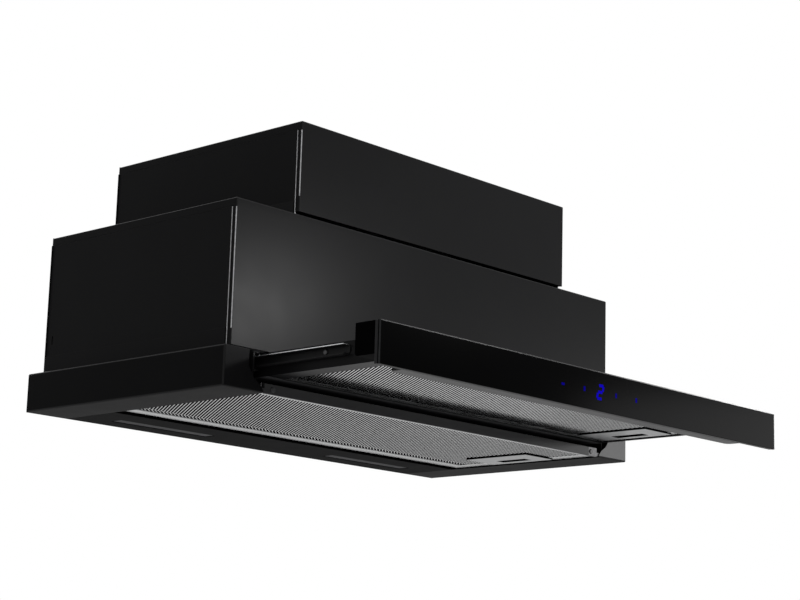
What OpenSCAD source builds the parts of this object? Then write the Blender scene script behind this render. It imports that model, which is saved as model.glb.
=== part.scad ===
// Pull-out cooker hood of the 600 mm class. A stepped sheet-steel casing hides in a wall
// cabinet, a flat base under it holds a grease filter and the lights, and a second filter
// rides in a glass-fronted drawer on caged ball slides. Pulling the drawer out widens the
// hood over the hob. X runs along the front, Y to the back, Z up. The origin is the middle
// of the footprint with the drawer out, at the level of the underside.

/* [Base] */
// Overall width of the hood
hood_w = 598; // [560:1:798]
// Depth of the base, from its front cheeks to its back wall
base_d = 285; // [280:1:310]
// Height of the base's side walls
base_h = 38; // [38:0.5:44]
// Width of the flange under each side
flange_w = 49; // [46:1:56]
// Thickness of the sheet steel
sheet = 1; // [0.8:0.05:1.1]
// Radius of the sheet's folds
fold_r = 1.6; // [1.2:0.1:2]
// Height of the front rail under the drawer
rail_h = 9.5; // [8.5:0.5:10]
// Thickness of the front rail
rail_t = 2.4; // [2:0.1:3]

/* [Casing] */
// How far the lower casing stands in from each side of the base
lower_inset = 19; // [16:0.5:28]
// Height of the lower casing above the base
lower_h = 141; // [138:1:160]
// How far the upper casing stands in from each side of the lower one
upper_inset = 79; // [70:1:90]
// Height of the upper casing
upper_h = 92; // [90:1:110]
// Setback of both casings behind the base's front
case_set = 14; // [12:1:18]
// Gap that the casing's front leaves above the base
front_gap = 4; // [3:0.5:6]
// Gap that the upper casing's front leaves above the lower one
step_gap = 3; // [2:0.5:5]
// Height of the skirt folded down from each top
skirt = 8; // [6:1:10]
// Depth of the groove between a front sheet and the side plate behind it
groove = 2; // [1:0.5:3]
// Height of the upstand that holds the lower side plates
lower_upstand = 20; // [16:1:24]
// Height of the upstand that holds the upper side plates
upper_upstand = 14; // [10:1:18]

/* [Duct] */
// Outside diameter of the duct collar
duct_d = 150; // [148:1:152]
// Height of the collar above the casing
collar_h = 35; // [30:1:40]
// Distance from the casing's back to the collar's middle
duct_back = 94; // [92:1:98]
// Wall of the plastic collar
collar_wall = 1.8; // [1.5:0.1:2.2]
// Thickness of the damper flaps
flap_t = 1; // [0.8:0.1:1.4]
// Radius of the damper pin
flap_pin_r = 1.5; // [1.2:0.1:1.8]

/* [Drawer] */
// How far the drawer stands out of the base
pull_out = 160; // [120:1:165]
// Height of the tray's floor above the underside
tray_z = 15; // [14:0.5:16]
// Height of the tray's walls
tray_h = 21.5; // [20:0.5:22]
// Width of the tray's left floor flange
tray_flange = 20; // [16:1:26]
// Depth of the closed strip at the back of the tray's floor
tray_back = 41; // [39:1:46]

/* [Front panel] */
// Height of the front panel
panel_h = 37.5; // [36:0.5:37.5]
// Depth of the front panel with its glass
panel_d = 30; // [28:1:36]
// Thickness of the glass
glass_t = 3.5; // [3:0.25:5]
// Depth of the metal backing behind the glass
backing_d = 3.4; // [3:0.1:5]
// Height of the grip lip's underside above the hood's underside
lip_z = 3; // [2.5:0.5:4]
// Height of the end caps' underside
cap_z = 9.5; // [9:0.5:12]

/* [Slides] */
// Height of the outer slide member
slide_h = 17; // [16:0.5:17.5]
// Width of the slide across both members
slide_w = 9.5; // [9:0.5:11]
// How much shorter than the base the fixed slide member is
slide_short = 35; // [30:1:45]
// Length of the moving slide member
runner_l = 216; // [180:1:221]
// Diameter of the slide balls
ball_d = 3; // [2.8:0.1:3.2]
// Balls in each row of a cage
balls = 5; // [3:1:6]
// Distance between the balls of a row
ball_pitch = 11; // [9:1:12]

/* [Filters] */
// Height of a filter cassette
filter_h = 9; // [8:0.5:9]
// Width of the filter frames' strips at the back and right
strip_w = 16; // [12:1:20]
// Width of the filter frames' front strip
front_strip = 8; // [6:1:12]
// Distance between the mesh slots along the front
slot_px = 17; // [15:1:24]
// Distance between the mesh slots from front to back
slot_py = 10; // [9:0.5:14]
// Wave length of the folded grease mesh
wave = 14; // [12:1:20]
// Length of a latch plate from front to back
latch_l = 84; // [70:1:90]
// Width of a latch plate
latch_w = 42; // [36:1:46]
// Travel of a latch
latch_travel = 5; // [4:0.5:6]

/* [Lights] */
// Depth of the light strip behind the rear filter
light_d = 81; // [76:1:90]
// Length of a light lens
lens_l = 126; // [100:1:140]
// Width of a light lens
lens_w = 15; // [12:1:20]
// Distance from the hood's middle to a lens's middle
lens_x = 150; // [140:1:160]

/* [Fan] */
// Radius of the fan wheel
wheel_r = 68; // [60:1:70]
// Length of the fan wheel
wheel_l = 120; // [100:1:126]
// Blades of the fan wheel
blades = 30; // [20:1:36]
// Inside width of the fan scroll
scroll_w = 138; // [134:1:140]
// Wall of the plastic scroll
scroll_wall = 2; // [1.5:0.25:2.5]
// Radius of the motor's case
motor_r = 44; // [38:1:46]
// Length of the motor's case
motor_l = 56; // [50:1:70]
// Radius of the motor's shaft
shaft_r = 4; // [3:0.5:5]

/* [Hidden] */

$fn = 48;
fit = 0.2;              // air between sheets that slip past each other
touch = 0.3;            // air between curved or moving faces
eps = 0.01;             // overrun of a cut

half_w = hood_w / 2;
open_x = half_w - flange_w;
case_back = base_d - sheet;
reach = pull_out + panel_d;
middle_y = (base_d - reach) / 2;

lower_x = half_w - lower_inset;
upper_x = lower_x - upper_inset;
lower_top = base_h + lower_h;
upper_top = lower_top + upper_h;
joggle = 3.5;
plate_y = case_set + joggle + groove;
return_d = 26;

rail_y = sheet + fit;
filter_y = rail_y + rail_t + 2 * touch;
light_y = case_back - light_d;
filter_d = light_y - filter_y - 1.5;
panel_z = 0.5;
filter_z = 1.3;

tray_d = light_y - 5;
slide_l = base_d - slide_short;
tray_wall = open_x - sheet;
tray_filter_d = tray_d - tray_back - 2;

slide_z = tray_z + 13.75;
slide_web = 1;
lip_t = 1.2;
outer_in = slide_h / 2 - lip_t;
runner_out = outer_in - ball_d + 0.45;
ball_off = (outer_in + runner_out) / 2;
ball_u = slide_w / 2;
slide_y = 4;
runner_y = 51.5;
runner_screw_ys = [runner_y + 29.5, runner_y + 134];
runner_screw_r = 1.5;
cage_l = (balls - 1) * ball_pitch + 14;
cage_y = 30;

fan_y = 125;
fan_z = base_h + 104;
duct_y = case_back - duct_back;
duct_r = duct_d / 2;
flap_z = upper_top + 14;

// ---- helpers ----

// Moves a piece from the base's own corner to the middle of the footprint.
module placed() translate([0, -middle_y, 0]) children();

// Moves a drawer piece from its closed place to the pulled-out one.
module pulled() translate([0, -middle_y - pull_out, 0]) children();

// Turns a right-hand piece into the left-hand one for side = -1.
module handed(side) mirror([side < 0 ? 1 : 0, 0, 0]) children();

module box(low, high) translate(low) cube([high[0] - low[0], high[1] - low[1], high[2] - low[2]]);

// A cylinder along X that starts at x.
module rod_x(x, y, z, r, l) translate([x, y, z]) rotate([0, 90, 0]) cylinder(r = r, h = l);

// A cylinder along Y that starts at y.
module rod_y(x, y, z, r, l) translate([x, y, z]) rotate([-90, 0, 0]) cylinder(r = r, h = l);

// A pan-head screw whose head sits on z = 0 and whose shank points down.
module screw(head_r, head_h, shank_r, shank_l) {
    rotate_extrude()
        polygon(concat(
            [[0, -shank_l], [shank_r * 0.4, -shank_l], [shank_r, -shank_l + shank_r], [shank_r, 0], [head_r, 0]],
            [for (a = [0 : 15 : 90]) [head_r * (0.7 + 0.3 * cos(a)), head_h * sin(a)]],
            [[0, head_h]]));
}

// ---- base ----

// The cut in a cheek that lets the slide and its runner pass.
module cheek_opening() {
    edge = open_x + slide_w + sheet + 8.5;
    slide_low = slide_z - slide_h / 2;
    translate([0, sheet + eps, 0]) rotate([90, 0, 0]) linear_extrude(sheet + 2 * eps)
        polygon([
            [open_x - eps, 2], [open_x + 4, 7], [edge - 7, slide_low - 8],
            [edge, slide_low + 2], [edge, base_h + eps], [open_x - eps, base_h + eps]]);
}

// One side of the base: a folded wall with its cheek, floor flange, ledge and upstand.
module base_side() {
    difference() {
        linear_extrude(base_h) difference() {
            union() {
                translate([open_x, 0]) square([flange_w - fold_r, sheet]);
                translate([half_w - sheet, fold_r]) square([sheet, base_d - fold_r]);
                intersection() {
                    translate([half_w - fold_r, fold_r]) circle(fold_r);
                    translate([half_w - fold_r, 0]) square(fold_r);
                }
            }
            translate([half_w - fold_r, fold_r]) circle(fold_r - sheet);
        }
        cheek_opening();
    }
    box([open_x, sheet / 2, 0], [half_w - sheet / 2, base_d - sheet / 2, sheet]);
    box([lower_x, case_set, base_h - sheet], [lower_x + 2 * sheet, case_back - fit, base_h]);
    box([lower_x + sheet + fit, case_set, base_h - sheet], [half_w - sheet / 2, base_d - sheet / 2, base_h]);
    box([open_x + slide_w + sheet + 10, sheet / 2, base_h - sheet], [half_w - sheet / 2, case_set, base_h]);
    box([lower_x, plate_y + sheet, base_h - sheet], [lower_x + sheet, case_back - fit, base_h + lower_upstand]);
}

module base_frame() color([0.07, 0.07, 0.08]) placed() {
    for (side = [-1, 1]) handed(side) base_side();
    box([-half_w + sheet / 2, case_back, 0], [half_w - sheet / 2, base_d, base_h - sheet]);
    for (side = [-1, 1]) handed(side)
        box([lower_x + sheet + fit, case_back, 0], [half_w - sheet / 2, base_d, base_h]);
}

// The flat bar under the drawer. Its ends step up and stand on the side flanges.
module front_rail() color([0.2, 0.2, 0.21]) placed() difference() {
    union() {
        box([-open_x + rail_gap, rail_y, fit], [open_x - rail_gap, rail_y + rail_t, rail_h]);
        for (side = [-1, 1]) handed(side)
            box([open_x - rail_gap - 1, rail_y, sheet], [open_x + slide_w / 2, rail_y + rail_t, rail_h / 2]);
    }
    for (x = [-rail_screw_x, rail_screw_x]) rod_y(x, 0, rail_h / 2, rail_screw_r + screw_fit, 2 * rail_t);
}
rail_gap = 2.5;
rail_screw_x = open_x - 13;
rail_screw_r = 1.4;
screw_fit = 0.1;

// ---- casing ----

// Plan of a front sheet: rounded folds at both ends, and joggled flanges for the side plates.
module front_plan(x) {
    difference() {
        union() {
            translate([-x + fold_r, case_set]) square([2 * (x - fold_r), joggle]);
            translate([-x, case_set + fold_r]) square([2 * x, joggle - fold_r]);
            for (side = [-1, 1]) translate([side * (x - fold_r), case_set + fold_r]) circle(fold_r);
        }
        translate([-x + 2 * sheet, case_set + sheet]) square([2 * (x - 2 * sheet), joggle]);
    }
    for (side = [-1, 1]) translate([side * (x - 1.5 * sheet) - sheet / 2, case_set + sheet])
        square([sheet, return_d]);
}

// A front sheet and top in one, with skirts folded down over the side plates.
module shell(x, low, high) {
    translate([0, 0, low]) linear_extrude(high - low) front_plan(x);
    box([-x, case_set + joggle - eps, high - sheet], [x, case_back, high]);
    box([-x + sheet, case_set + sheet - eps, high - sheet], [x - sheet, case_back, high]);
    for (side = [-1, 1]) handed(side)
        box([x - sheet, case_set + joggle - eps, high - skirt], [x, case_back, high]);
}

module lower_shell() color([0.06, 0.06, 0.065]) placed() {
    difference() {
        shell(lower_x, base_h + front_gap, lower_top);
        box([-upper_x + 2 * sheet, case_set + 2 * sheet, lower_top - 2 * sheet],
            [upper_x - 2 * sheet, case_back - 2 * sheet, lower_top + eps]);
    }
    for (side = [-1, 1]) handed(side)
        box([upper_x, plate_y + sheet, lower_top - sheet], [upper_x + sheet, case_back, lower_top + upper_upstand]);
}

module upper_shell() color([0.06, 0.06, 0.065]) placed() {
    difference() {
        shell(upper_x, lower_top + step_gap, upper_top);
        translate([0, duct_y, upper_top - 2 * sheet]) cylinder(r = duct_r - collar_wall - 3, h = 4 * sheet);
        translate([gland_x, gland_y, upper_top - 2 * sheet]) cylinder(r = gland_r + fit, h = 4 * sheet);
    }
}

// A side plate lies on the joggled flanges, under the skirt and behind the upstand.
module side_plate(x, low, high) box([x - sheet, plate_y, low], [x, case_back, high - skirt - fit]);

// The lower plates hook onto the back by a narrow slot.
module lower_side(side) color([0.05, 0.05, 0.055]) placed() handed(side) difference() {
    side_plate(lower_x, base_h, lower_top);
    box([lower_x - 2 * sheet, case_back - 9, base_h + 31], [lower_x + sheet, case_back - 7.5, base_h + 40]);
}
module lower_side_left() lower_side(-1);
module lower_side_right() lower_side(1);

module upper_side(side) color([0.05, 0.05, 0.055]) placed() handed(side)
    side_plate(upper_x, lower_top, upper_top);
module upper_side_left() upper_side(-1);
module upper_side_right() upper_side(1);

// The back of both casings, with flanges inside the side plates and two wall holes.
wall_hole_r = 4;
wall_hole_x = 230;
wall_hole_z = 136;
module back_panel() color([0.06, 0.06, 0.065]) placed() {
    difference() {
        union() {
            box([-lower_x - sheet, case_back, base_h - sheet], [lower_x + sheet, base_d, lower_top - skirt]);
            box([-lower_x, case_back, base_h - sheet], [lower_x, base_d, lower_top]);
            box([-upper_x - sheet, case_back, base_h], [upper_x + sheet, base_d, upper_top - skirt]);
            box([-upper_x, case_back, base_h], [upper_x, base_d, upper_top]);
        }
        for (side = [-1, 1])
            rod_y(side * wall_hole_x, case_back - sheet, wall_hole_z, wall_hole_r, 4 * sheet);
    }
    for (side = [-1, 1]) handed(side) {
        box([lower_x - 2 * sheet, case_back - return_d + 4, base_h], [lower_x - sheet, case_back + eps, lower_top - skirt - fit]);
        box([upper_x - 2 * sheet, case_back - return_d + 4, lower_top], [upper_x - sheet, case_back + eps, upper_top - skirt - fit]);
    }
}

// ---- lights ----

// The strip behind the rear filter. Ears on its side flanges stand on the base's flanges.
light_rim = 11;
module light_panel() color([0.05, 0.05, 0.055]) placed() {
    panel_x = open_x - fit;
    difference() {
        box([-panel_x, light_y, 0], [panel_x, case_back, sheet]);
        for (side = [-1, 1])
            box([side * lens_x - lens_l / 2 - fit, light_middle() - lens_w / 2 - fit, -eps],
                [side * lens_x + lens_l / 2 + fit, light_middle() + lens_w / 2 + fit, sheet + eps]);
    }
    box([-panel_x, light_y, 0], [panel_x, light_y + sheet, light_rim]);
    box([-panel_x, case_back - sheet, 0], [panel_x, case_back, light_rim]);
    for (side = [-1, 1]) handed(side) {
        box([panel_x - sheet, light_y, 0], [panel_x, case_back, light_rim]);
        box([panel_x - sheet, light_y + 6, sheet], [open_x + slide_w, case_back - 6, 2 * sheet]);
    }
    switch_post();
}
function light_middle() = light_y + light_d * 0.6;

// A bent tab on the light strip's front rim that carries the drawer switch.
switch_x = 200;
switch_z = tray_z + 4;
module switch_post() {
    box([switch_x - 10, light_y + sheet - eps, light_rim - 6], [switch_x + 10, light_y + 2 * sheet, switch_z - 2]);
    box([switch_x - 10, light_y + sheet - eps, switch_z - 2], [switch_x + 10, light_y + 13, switch_z - 2 + sheet]);
}

// A lens fills its window and rests on the strip by a rim.
module light_lens(side) color([0.75, 0.77, 0.8]) placed() {
    middle = [side * lens_x, light_middle(), 0];
    translate(middle) {
        box([-lens_l / 2, -lens_w / 2, panel_z], [lens_l / 2, lens_w / 2, sheet + eps]);
        difference() {
            box([-lens_l / 2 - 3, -lens_w / 2 - 3, sheet], [lens_l / 2 + 3, lens_w / 2 + 3, sheet + 5]);
            box([-lens_l / 2 + 1, -lens_w / 2 + 1, sheet + 1.2], [lens_l / 2 - 1, lens_w / 2 - 1, sheet + 6]);
        }
    }
}
module light_lens_left() light_lens(-1);
module light_lens_right() light_lens(1);

// Two circuit strips with a row of light chips each, on the lenses' rims.
module light_boards() color([0.8, 0.82, 0.8]) placed()
    for (side = [-1, 1]) translate([side * lens_x, light_middle(), sheet + 5]) {
        box([-lens_l / 2, -lens_w / 2 - 2, 0], [lens_l / 2, lens_w / 2 + 2, 1.6]);
        for (k = [-5 : 5]) box([k * lens_l / 12 - 2, -2, -1], [k * lens_l / 12 + 2, 2, eps]);
    }

// ---- slides ----

// Moves a slide piece from its own section to its side: u runs outward from the tray wall.
module on_slide(side, y) handed(side) translate([open_x, y, slide_z]) children();

// Section of a C-shaped member from u0 to u1 with its web at one side; grooves hold the balls.
module slide_section(u0, u1, web_u, half_h, groove_off) {
    difference() {
        union() {
            translate([web_u, -half_h]) square([slide_web, 2 * half_h]);
            for (up = [-1, 1]) translate([u0, up > 0 ? half_h - lip_t : -half_h]) square([u1 - u0, lip_t]);
        }
        for (up = [-1, 1]) translate([ball_u, up * groove_off]) circle(ball_d / 2 + 0.05);
    }
}

module along_y(l) rotate([-90, 0, 0]) mirror([0, 1, 0]) linear_extrude(l) children();

// An angle that stands on the side flange and carries the outer member.
bracket_over = slide_short * 0.57;
bracket_gap = light_d * 0.1;
bracket_l = light_y * 0.84;
bracket_w = flange_w * 0.33;
module slide_bracket(side) color([0.6, 0.61, 0.62]) placed() handed(side) {
    web_x = open_x + slide_w;
    box([web_x, slide_y, sheet], [web_x + sheet, slide_y + slide_l + bracket_over, slide_z + slide_h / 2]);
    box([web_x, light_y - bracket_gap - bracket_l, sheet], [web_x + bracket_w, light_y - bracket_gap, 2 * sheet]);
}
module slide_bracket_left() slide_bracket(-1);
module slide_bracket_right() slide_bracket(1);

module slide_outer(side) color([0.62, 0.63, 0.64]) placed() on_slide(side, slide_y)
    along_y(slide_l) slide_section(3, slide_w, slide_w - slide_web, slide_h / 2, ball_off);
module slide_outer_left() slide_outer(-1);
module slide_outer_right() slide_outer(1);

// The runner on the tray's wall. Its front end is cut to a half round, as stamped.
module slide_inner(side) color([0.62, 0.63, 0.64]) pulled() on_slide(side, runner_y) difference() {
    intersection() {
        along_y(runner_l) slide_section(0, slide_w - 3, 0, runner_out, ball_off);
        union() {
            box([-1, runner_out, -slide_h], [slide_w, runner_l, slide_h]);
            rod_x(-1, runner_out, 0, runner_out, slide_w + 1);
        }
    }
    for (y = runner_screw_ys) rod_x(-1, y - runner_y, 0, runner_screw_r + screw_fit, 3 * slide_web);
}
module slide_inner_left() slide_inner(-1);
module slide_inner_right() slide_inner(1);

cage_t = 1;
cage_off = ball_off - cage_t / 2;
function ball_y(k) = cage_y + 7 + k * ball_pitch;

module slide_cage(side) color([0.3, 0.31, 0.32]) placed() on_slide(side, 0) difference() {
    union() {
        box([slide_w - 2.5, cage_y, -cage_off - cage_t], [slide_w - 1.7, cage_y + cage_l, cage_off + cage_t]);
        for (up = [0, 1]) mirror([0, 0, up])
            box([3.2, cage_y, cage_off], [slide_w - 1.7, cage_y + cage_l, cage_off + cage_t]);
    }
    for (k = [0 : balls - 1], up = [-1, 1])
        translate([ball_u, ball_y(k), up * ball_off - 2]) cylinder(r = ball_d / 2 + 0.08, h = 4);
}
module slide_cage_left() slide_cage(-1);
module slide_cage_right() slide_cage(1);

module slide_balls(side) color([0.75, 0.75, 0.77]) placed() on_slide(side, 0)
    for (k = [0 : balls - 1], up = [-1, 1])
        translate([ball_u, ball_y(k), up * ball_off]) sphere(d = ball_d);
module slide_balls_left() slide_balls(-1);
module slide_balls_right() slide_balls(1);

// ---- fan ----

// Radius of the scroll at angle a, which grows from the tongue round to the outlet.
tongue_a = 78;
scroll_r0 = wheel_r + 8;
scroll_r1 = wheel_r + 34;
function scroll_r(a) = scroll_r0 + (scroll_r1 - scroll_r0) * (a - tongue_a) / (360 - tongue_a);
outlet_z = upper_top - sheet - fan_z;
throat = duct_r - collar_wall - 4;

// The scroll's outline round the shaft, as plan points (back, up), grown by a wall.
module scroll_plan(grow) polygon(concat(
    [for (k = [0 : 36]) let (a = tongue_a + (360 - tongue_a) * k / 36)
        [(scroll_r(a) + grow) * cos(a), (scroll_r(a) + grow) * sin(a)]],
    [[scroll_r1 + grow, 20],
     [duct_y - fan_y + throat + grow, outlet_z - 10], [duct_y - fan_y + throat + grow, outlet_z],
     [duct_y - fan_y - throat - grow, outlet_z], [duct_y - fan_y - throat - grow, outlet_z - 14]]));

// Stands a plan drawn as (back, up) upright on the shaft and gives it a thickness along X.
module upright(x, l) translate([x, fan_y, fan_z]) rotate([90, 0, 90]) linear_extrude(l) children();

// One half of the scroll: a rim, a side wall, and a flange under the casing's top.
module scroll_half(side, mouth_r) {
    half = scroll_w / 2;
    handed(side) difference() {
        union() {
            upright(0, half) difference() {
                scroll_plan(scroll_wall);
                scroll_plan(0);
            }
            upright(half, scroll_wall) difference() {
                scroll_plan(scroll_wall);
                circle(mouth_r);
            }
            box([0, duct_y - throat - 12, upper_top - sheet - scroll_wall],
                [half + 12, duct_y + throat + 12, upper_top - sheet]);
        }
        translate([0, duct_y, upper_top - 30]) cylinder(r = throat, h = 40);
        upright(-1, half + 1) scroll_plan(0);
    }
}

// The motor side, with a hole for the shaft's hub.
module scroll_left() color([0.28, 0.29, 0.3]) placed() scroll_half(-1, 14);

// The inlet side, with a bell mouth.
module scroll_right() color([0.28, 0.29, 0.3]) placed() {
    mouth = wheel_r - 14;
    scroll_half(1, mouth);
    translate([scroll_w / 2 + scroll_wall, fan_y, fan_z]) rotate([0, 90, 0]) rotate_extrude()
        polygon(concat(
            [[mouth, -scroll_wall]],
            [for (a = [0 : 10 : 90]) [mouth + 6 - 6 * cos(a), 6 * sin(a)]],
            [[mouth + 8, 6], [mouth + 8, 4.5]],
            [for (a = [90 : -10 : 0]) [mouth + 6 - 4.5 * cos(a), 4.5 * sin(a)]],
            [[mouth + 1.5, -scroll_wall]]));
}

motor_x = -scroll_w / 2 - scroll_wall - sheet * 2;

// A steel plate with three feet on the scroll, and the ring that the motor sits on.
module motor_mount() color([0.55, 0.56, 0.57]) placed()
    translate([motor_x, fan_y, fan_z]) rotate([0, 90, 0]) difference() {
        union() {
            cylinder(r = motor_r * 0.8, h = 2 * sheet);
            for (k = [0 : 2]) rotate([0, 0, 120 * k]) {
                translate([0, -9, 0]) cube([motor_r + 12, 18, 2 * sheet]);
                translate([motor_r + 12, 0, 0]) cylinder(r = 9, h = 2 * sheet);
            }
        }
        translate([0, 0, -1]) cylinder(r = 14, h = 4 * sheet);
        for (k = [0 : 2]) rotate([0, 0, 120 * k]) translate([motor_r + 12, 0, -1])
            cylinder(r = 2.1, h = 4 * sheet);
    }

// The motor's can: a ribbed drum with vents in its end and a bored middle.
bearing_r = motor_r / 4;
can_lip = motor_l / 14;
module motor_case() color([0.45, 0.46, 0.47]) placed()
    translate([motor_x, fan_y, fan_z]) rotate([0, -90, 0]) difference() {
        union() {
            cylinder(r = motor_r - 2, h = motor_l);
            for (k = [0 : 23]) rotate([0, 0, 15 * k])
                translate([motor_r - 3, -1, can_lip + 4]) cube([3, 2, motor_l - 2 * can_lip - 8]);
            cylinder(r = motor_r, h = can_lip);
            translate([0, 0, motor_l - can_lip - 2]) cylinder(r = motor_r, h = can_lip);
        }
        translate([0, 0, -1]) cylinder(r = bearing_r, h = 9);
        translate([0, 0, motor_l - 8]) cylinder(r = bearing_r, h = 9);
        translate([0, 0, -1]) cylinder(r = shaft_r + 2, h = motor_l + 2);
        for (k = [0 : 7]) rotate([0, 0, 45 * k])
            translate([motor_r * 0.62, 0, motor_l - 5]) cylinder(r = 3.5, h = 6);
    }

// Two plain bearings in the ends of the can.
module motor_bearings() color([0.7, 0.6, 0.4]) placed()
    translate([motor_x, fan_y, fan_z]) rotate([0, -90, 0])
        for (z = [0.5, motor_l - 7.5]) translate([0, 0, z]) difference() {
            cylinder(r = bearing_r, h = 7);
            translate([0, 0, -1]) cylinder(r = shaft_r + 0.05, h = 9);
        }

hub_x = -wheel_l / 2 + 8;
hub_l = wheel_l * 0.18;
module motor_shaft() color([0.7, 0.7, 0.72]) placed()
    rod_x(motor_x - motor_l - 3, fan_y, fan_z, shaft_r, hub_x + hub_l - 6 - motor_x + motor_l + 3);

// One forward-curved blade: a strip of a tube's wall.
blade_depth = 12;
module blade_plan() intersection() {
    translate([wheel_r - blade_depth / 2, -9]) difference() {
        circle(12);
        circle(11);
    }
    translate([wheel_r - blade_depth, 0]) square([blade_depth - 0.4, 6]);
}

// The squirrel-cage wheel: blades between three rings, a dished disc and a hub.
module fan_wheel() color([0.3, 0.31, 0.32]) placed()
    translate([0, fan_y, fan_z]) rotate([0, 90, 0]) {
        for (k = [0 : blades - 1]) rotate([0, 0, 360 * k / blades])
            translate([0, 0, -wheel_l / 2]) linear_extrude(wheel_l) blade_plan();
        for (z = [-wheel_l / 2, -1, wheel_l / 2 - 2]) translate([0, 0, z]) difference() {
            cylinder(r = wheel_r, h = 2);
            translate([0, 0, -1]) cylinder(r = wheel_r - blade_depth, h = 4);
        }
        difference() {
            union() {
                translate([0, 0, hub_x - 2]) cylinder(r = wheel_r - blade_depth / 2, h = 2);
                translate([0, 0, hub_x - 6]) cylinder(r = shaft_r * 2.5, h = hub_l);
            }
            translate([0, 0, hub_x - 7]) cylinder(r = shaft_r + 0.02, h = hub_l + 2);
            for (k = [0 : 5]) rotate([0, 0, 60 * k]) translate([wheel_r * 0.47, 0, hub_x - 3]) cylinder(r = wheel_r * 0.13, h = 4);
        }
    }

// ---- electrics ----

control_x = 190;
control_w = 120;
control_low = base_h + 22;
control_h = 48;
control_screw_r = 1.4;
module control_box() color([0.1, 0.1, 0.11]) placed() {
    low = [control_x - control_w / 2, case_back - 44, control_low];
    high = [control_x + control_w / 2, case_back, control_low + control_h];
    difference() {
        box(low, high);
        for (k = [1 : 8]) box([low[0] + 12 * k, low[1] - 1, high[2] - 22], [low[0] + 12 * k + 3, low[1] + 3, high[2] - 6]);
    }
    for (side = [-1, 1]) translate([control_x + side * (control_w / 2 + 5), case_back - 3, control_low + control_h / 2])
        difference() {
            box([-5 - eps, 0, -8], [5 + eps, 3, 8]);
            rod_y(0, -1, 0, control_screw_r + screw_fit, 5);
        }
}

module fan_capacitor() color([0.75, 0.76, 0.77]) placed()
    translate([control_x, case_back - 22, control_low + control_h]) {
        cylinder(r = 17, h = 46);
        translate([0, 0, 46]) cylinder(r = 14, h = 3);
    }

gland_x = 150;
gland_y = 244;
gland_r = 8;
gland_bore = 4.5;
module cable_gland() color([0.09, 0.09, 0.1]) placed() translate([gland_x, gland_y, upper_top]) difference() {
    union() {
        translate([0, 0, -9]) cylinder(r = gland_r, h = 20);
        cylinder(r = 11, h = 3);
        rotate_extrude() polygon([[0, 3], [10, 3], [10, 9], [7.5, 13], [0, 13]]);
        translate([0, 0, -sheet - 4]) cylinder(r = 12, h = 4, $fn = 6);
    }
    translate([0, 0, -10]) cylinder(r = gland_bore, h = 30);
}

// The drawer switch: a small housing with two ears that hold a leaning lever.
lever_gap = 1.5;
lever_l = 16;
lever_t = 0.3;
lever_x = switch_x - 7.5;
lever_y = light_y + 3;
lever_lean = asin((lever_y - tray_d - lever_gap - lever_t) / lever_l);
lever_low = switch_z + 3;
lever_h = 4;
pivot_r = 0.8;
module switch_body() color([0.12, 0.12, 0.13]) placed() {
    box([switch_x - 10, light_y + 4.6, switch_z - 2 + sheet], [switch_x + 10, light_y + 13, switch_z + 11]);
    for (z = [lever_low - 1.4, lever_low + lever_h + 0.2])
        box([lever_x - 1.8, lever_y - 1.6, z], [lever_x + 1.8, light_y + 4.6 + eps, z + 1.2]);
    translate([lever_x, lever_y, lever_low - 1]) cylinder(r = pivot_r, h = lever_h + 2);
}

// A thin lever on the pin. It leans towards the tray and is pressed back as the drawer shuts.
module switch_lever() color([0.7, 0.71, 0.72]) placed() translate([lever_x, lever_y, lever_low])
    rotate([0, 0, -lever_lean]) difference() {
        union() {
            cylinder(r = 1.4, h = lever_h);
            box([0, -lever_t, 0], [lever_l, lever_t, lever_h]);
        }
        translate([0, 0, -1]) cylinder(r = pivot_r + 0.05, h = lever_h + 2);
    }

// ---- duct collar ----

collar_screw_r = 1.7;
boss_w = 4;
boss_top = 5;
ledge_z = flap_z - upper_top - flap_t / 2 - 0.1;

module duct_collar() color([0.12, 0.12, 0.13]) placed() translate([0, duct_y, upper_top]) {
    difference() {
        union() {
            cylinder(r = duct_r, h = collar_h, $fn = 96);
            cylinder(r = duct_r + 11, h = 2, $fn = 96);
        }
        translate([0, 0, -1]) cylinder(r = duct_r - collar_wall, h = collar_h + 2, $fn = 96);
        for (k = [0 : 3]) rotate([0, 0, 45 + 90 * k]) translate([duct_r + 6, 0, -1]) cylinder(r = collar_screw_r + screw_fit, h = 4);
    }
    difference() {
        translate([0, 0, ledge_z - 1.5]) cylinder(r = duct_r - collar_wall / 2, h = 1.5);
        translate([0, 0, ledge_z - 3]) cylinder(r = duct_r - collar_wall - 4, h = 6);
        for (side = [-1, 1]) box([side * duct_r - 12, -boss_w, ledge_z - 3], [side * duct_r + 12, boss_w, ledge_z + 1]);
    }
    for (side = [-1, 1]) handed(side) difference() {
        intersection() {
            box([duct_r - 6, -boss_w, 8], [duct_r, boss_w, flap_z - upper_top + boss_top]);
            cylinder(r = duct_r - collar_wall / 2, h = collar_h);
        }
        rod_x(duct_r - 8, 0, flap_z - upper_top, flap_pin_r, 8);
    }
}

module flap_pin() color([0.7, 0.7, 0.72]) placed()
    rod_x(-duct_r + collar_wall, duct_y, flap_z, flap_pin_r, duct_d - 2 * collar_wall);

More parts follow.
